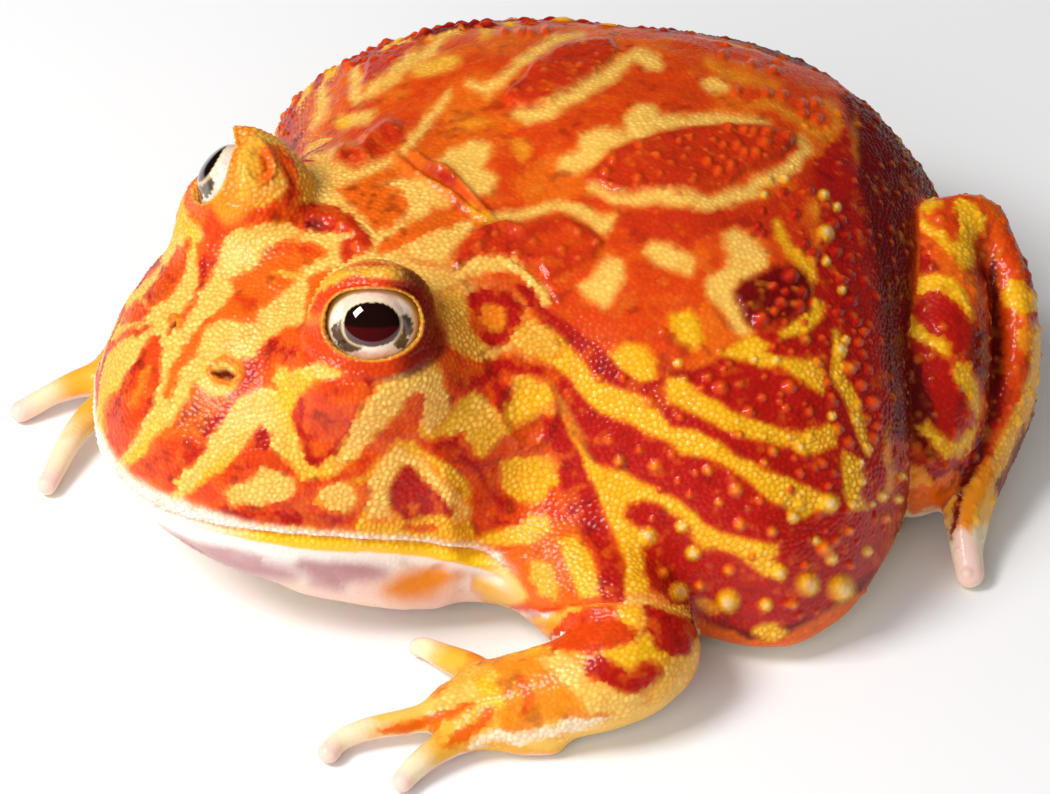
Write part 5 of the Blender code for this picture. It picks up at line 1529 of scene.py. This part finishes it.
def dress(skin):
    """Granules, warts, folds and markings; returns the colour of every point."""
    points = skin.points
    normals = skin.normals()
    part, digit, partner = sort_parts(points)
    spots, facing, swap = mirrored_spots(points, normals, partner)

    rise = points[:, 2] - spline(MOUTH_HEIGHT, points[:, 1])
    throat = ramp(-rise, 0, 1.5) * trunk_zone(points, part, *THROAT)
    under = ramp(-normals[:, 2], 0.1, 0.5)
    smoothness = np.maximum.reduce([throat * THROAT_SMOOTHNESS, under * UNDER_SMOOTHNESS,
                                    ramp(digit, 0.0, 0.3) * DIGIT_SMOOTHNESS])
    snout = trunk_zone(points, part, *SNOUT)
    flank = ramp(normals[:, 2], 0.75, 0.3) * trunk_zone(points, part, *BODY)
    spacing = GRANULE_SPACING - 0.02 * snout + 0.05 * flank + layers("spacing", points)
    chosen = seeds(points, np.maximum(spacing, LEAST_SPACING), 3)
    first, second, owner = nearest_granules(points, chosen)
    home = chosen[owner]
    same = (part[home] == part) & (swap[home] == swap)
    steady = np.where(same[:, None], spots[home] * 0.5 + spots * 0.5, spots)
    warp_at = np.where(same[:, None], points[home], points)
    warp = np.stack([layers("warp x", warp_at), layers("warp y", warp_at)], 1)
    colour = ground_colour(warp_at, normals, part, digit, ramp(facing, *VEINS_BETWEEN))
    seen = facing > SEEN_ABOVE
    canvas = Canvas(steady + warp, colour, seen & (part == 0))
    shape = Canvas(spots, colour.copy(), canvas.usable)
    lay_trunk_marks(canvas, spots, steady, warp)
    paint_lips(canvas, points, rise, part)
    canvas.spots = steady + warp
    lay_limb_marks(canvas, spots, seen, part)
    canvas.usable = seen & (part == 0)
    canvas.spots = spots
    traced_relief(canvas, shape)

    wild = add_wild_warts(canvas, shape, points, normals, part, chosen, seen)
    wart_mask = np.maximum(ramp(canvas.height, 0.15, 0.4), ramp(wild, 0.1, 0.3))
    share = 2 * first / np.maximum(first + second, 1e-6)
    cobble = np.clip(1 - share**2, 0, 1)
    tone = random_of(owner, 8)
    redness = canvas.colour[:, 0] - 1.6 * canvas.colour[:, 1]
    back = ramp(normals[:, 2], 0.7, 0.9) * trunk_zone(points, part, *BODY)
    red_skin = ramp(redness, 0.1, 0.4)
    blotch = layers("blotch", points)
    ahead = trunk_zone(points, part, *HEAD)
    on_red = (RED_FLECKS + HEAD_FLECKS * ahead) * red_skin
    for kind, cover in (("orange", ramp(blotch + 0.25 * ahead, 0.15, 0.6) * on_red),
                        ("deep", ramp(-blotch, 0.2, 0.7) * on_red),
                        ("amber", ramp(blotch, 0.2, 0.7) * AMBER_FLECKS * (1 - red_skin))):
        canvas.colour[:] = laid_over(canvas.colour, cover * (1 - smoothness), INK[kind])
    pebble = (1 - BACK_FLATNESS * back) * (1 - RED_FLATNESS * red_skin) * (1 - smoothness)
    pebble = pebble * (1 - WART_FLATNESS * wart_mask)
    pebble *= 1 - LIMB_FLATNESS * (part > 0)
    grain = GRAIN_HEIGHT * (0.6 + 0.8 * tone) * pebble
    folds = layers("folds", points)
    lips = humps(rise, LIP_HUMPS) * mouth_share(canvas, points, part)
    lids = dress_lids(canvas, points, warp_at, smoothness)
    height = shape.height + lids + grain * cobble + folds * (1 - 0.5 * smoothness) + lips
    height -= THROAT_DENTS * layers("throat", points) ** 2 * throat
    off_floor = ramp(points[:, 2], 0.05, 0.9)
    skin.points = points + normals * (height * off_floor)[:, None]
    skin.points[:, 2] = np.maximum(skin.points[:, 2], 0)
    # Painted shade darkens the grooves between granules, over the skin's own darker colour there; painted
    # highlights lighten the granule tips.
    groove_shade = GROOVE_SHADE_SHARE * ramp(cobble, 0.55, 0.0) * pebble
    tip_highlights = ramp(cobble, 0.2, 0.9) * (0.05 + 0.3 * tone**3) * pebble * (1 - red_skin)
    tip_highlights *= ramp(canvas.colour[:, 1], 0.05, 0.25)
    colour = laid_over(canvas.colour, groove_shade, canvas.colour * GROOVE_SHADE_TINT)
    colour = laid_over(colour, tip_highlights, TIP_HIGHLIGHT_COLOUR)
    return np.clip(colour * (1 + TONE_RANGE * (tone - 0.5) * (1 - smoothness))[:, None], 0, 1)


def build_mesh(name, points, quads, colour):
    """A mesh object from arrays in millimetres, moved to the solids' origin, with its paint."""
    mesh = bpy.data.meshes.new(name)
    mesh.vertices.add(len(points))
    mesh.vertices.foreach_set("co", ((points + np.array(SHIFT)) * MM).astype(np.float32).ravel())
    mesh.loops.add(quads.size)
    mesh.loops.foreach_set("vertex_index", quads.astype(np.int32).ravel())
    mesh.polygons.add(len(quads))
    mesh.polygons.foreach_set("loop_start", np.arange(0, quads.size, 4, dtype=np.int32))
    mesh.update(calc_edges=True)
    paint = mesh.color_attributes.new("paint", "FLOAT_COLOR", "POINT")
    paint.data.foreach_set("color", np.concatenate([colour, np.ones((len(colour), 1))], 1).ravel())
    mesh.shade_smooth()
    obj = bpy.data.objects.new(name, mesh)
    bpy.context.scene.collection.objects.link(obj)
    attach(obj, "root")
    return obj


def make_eye(side):
    """Eyeball with a swelling cornea; its iris and pupil are painted on."""
    level, rise, gaze = eye_axes(side)
    rings, sides = EYE_RINGS, EYE_SIDES
    fall = np.linspace(0, math.pi, rings + 1)[1:-1]
    turn = np.linspace(0, 2 * math.pi, sides, endpoint=False)
    unit = np.stack([np.outer(np.sin(fall), np.cos(turn)), np.outer(np.sin(fall), np.sin(turn)),
                     np.outer(np.cos(fall), np.ones(sides))], 2).reshape(-1, 3)
    poles = np.array([(0.0, 0.0, 1.0), (0.0, 0.0, -1.0)])
    unit = np.concatenate([unit, poles])
    radius = EYE_RADIUS + CORNEA_SWELL * ramp(unit[:, 2], 0.72, 0.97)
    local = unit * radius[:, None]
    axes = np.array([level, rise, gaze])
    points = local @ axes + np.array(EYE_CENTRE[side])
    quads = []
    for ring in range(rings - 2):
        for k in range(sides):
            a = ring * sides + k
            b = ring * sides + (k + 1) % sides
            quads.append((a, a + sides, b + sides, b))
    last = (rings - 2) * sides
    count = len(unit)
    for k in range(0, sides, 2):
        quads.append((count - 2, k, (k + 1) % sides, (k + 2) % sides))
        quads.append((count - 1, last + (k + 2) % sides, last + (k + 1) % sides, last + k))
    across, up = local[:, 0] / EYE_RADIUS, local[:, 1] / EYE_RADIUS
    wander = layers("pupil edge", local)
    pupil = power_norm(np.abs(across / PUPIL[0]), np.abs(up / PUPIL[1]), PUPIL_POWER) - 1 + wander
    oval = np.sqrt((across / 0.93) ** 2 + (up / 0.74) ** 2)
    mottle = layers("iris", local)
    speckle = layers("iris specks", local)
    colour = mixed([IRIS["ground"], IRIS["light"], IRIS["flush"]],
                   [ramp(mottle, -0.4, 0.5), ramp(mottle + up * 1.2, 0.55, 1.1) * 0.6])
    for spot_x, spot_y, wide, high in IRIS_PATCHES:
        near = ((across - spot_x) / wide) ** 2 + ((up - spot_y) / high) ** 2
        smudge = ramp(1.35 - near + 0.35 * mottle + 0.5 * speckle, 0.0, 0.5) * 0.94
        colour = laid_over(colour, smudge, IRIS["patch"])
    colour = laid_over(colour, ramp(oval, 0.86, 0.97), IRIS["rim"])
    colour = laid_over(colour, humps(pupil, ((0.7, 0.05, 0.05),)), IRIS["edge"])
    # Painted light: the pupil's lower half is a lighter dark red, as light seen inside the eye.
    sag = 0.06 * (1 - (across / PUPIL[0]) ** 2)
    depth = mixed([IRIS["pupil"], IRIS["pupil_light"]], [ramp(-up - sag, -0.02, 0.05) * 0.9])
    colour = laid_over(colour, ramp(-pupil, -0.015, 0.015), depth)
    eye = build_mesh("eyeball_" + side, points, np.array(quads), np.clip(colour, 0, 1))
    eye.data.materials.append(painted_material("eye_glaze", EYE_GLAZE))
    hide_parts("eye_" + side)


def new_material(name, settings):
    """A material of one shader, with values for its sockets."""
    material = bpy.data.materials.new(name)
    material.use_nodes = True
    shader = material.node_tree.nodes["Principled BSDF"]
    for socket, value in settings.items():
        shader.inputs[socket].default_value = value
    return material, shader


def painted_material(name, settings, grain_strength=0.0):
    """A shader in the mesh's own colours, with a fine grain where one is asked for."""
    material = bpy.data.materials.get(name)
    if material:
        return material
    material, shader = new_material(name, settings)
    nodes, links = material.node_tree.nodes, material.node_tree.links
    paint = nodes.new("ShaderNodeVertexColor")
    paint.layer_name = "paint"
    links.new(paint.outputs["Color"], shader.inputs["Base Color"])
    if grain_strength:
        place = nodes.new("ShaderNodeTexCoord")
        grain = nodes.new("ShaderNodeTexNoise")
        grain.inputs["Scale"].default_value = GRAIN_SCALE
        grain.inputs["Detail"].default_value = 3.0
        dent = nodes.new("ShaderNodeBump")
        dent.inputs["Strength"].default_value = grain_strength
        dent.inputs["Distance"].default_value = GRAIN_DEPTH
        links.new(place.outputs["Object"], grain.inputs["Vector"])
        links.new(grain.outputs["Fac"], dent.inputs["Height"])
        links.new(dent.outputs["Normal"], shader.inputs["Normal"])
    return material


def add_camera():
    camera = bpy.data.cameras.new("camera")
    camera.sensor_width = SENSOR_WIDTH
    camera.lens = FOCAL_PIXELS / FRAME_WIDTH * SENSOR_WIDTH
    camera.clip_start = CLIP_START
    obj = bpy.data.objects.new("camera", camera)
    bpy.context.scene.collection.objects.link(obj)
    obj.location = (TARGET + SHIFT + TOWARDS_CAMERA * DISTANCE) * MM
    obj.rotation_euler = TOWARDS_CAMERA.to_track_quat("Z", "Y").to_euler()
    bpy.context.scene.camera = obj


def add_stage():
    """A plain pale floor under a bright even sky, with soft lights."""
    mesh = bpy.data.meshes.new("floor")
    corners = [(x * FLOOR_REACH, y * FLOOR_REACH, 0) for x, y in ((-1, -1), (1, -1), (1, 1), (-1, 1))]
    mesh.from_pydata(corners, [], [(0, 1, 2, 3)])
    floor = bpy.data.objects.new("floor", mesh)
    bpy.context.scene.collection.objects.link(floor)
    floor.data.materials.append(new_material("floor_paper", FLOOR_PAPER)[0])
    world = bpy.data.worlds.new("sky")
    bpy.context.scene.world = world
    world.use_nodes = True
    world.cycles_visibility.glossy = False
    sky = world.node_tree.nodes["Background"]
    sky.inputs["Color"].default_value = (1, 1, 1, 1)
    sky.inputs["Strength"].default_value = SKY_STRENGTH
    for name, place, power, size in LIGHTS:
        light = bpy.data.lights.new(name, "AREA")
        light.energy = power
        light.size = size
        obj = bpy.data.objects.new(name, light)
        bpy.context.scene.collection.objects.link(obj)
        obj.location = place
        obj.visible_glossy = name == "key"
        obj.rotation_euler = (Vector(place) - Vector(LIGHTS_AIM)).to_track_quat("Z", "Y").to_euler()


add_camera()
add_stage()
points, quads = surface_net(frog_field())
skin = Skin(points, quads)
skin.smooth(SMOOTH_ROUNDS)
colour = dress(skin)
skin_obj = build_mesh("skin", skin.points, skin.quads, colour)
skin_obj.data.materials.append(painted_material("skin_wet", WET_SKIN, SKIN_GRAIN))
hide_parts(*[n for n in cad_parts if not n.startswith("eye")])
for side in ("left", "right"):
    make_eye(side)
bpy.context.scene.view_settings.view_transform = "Standard"
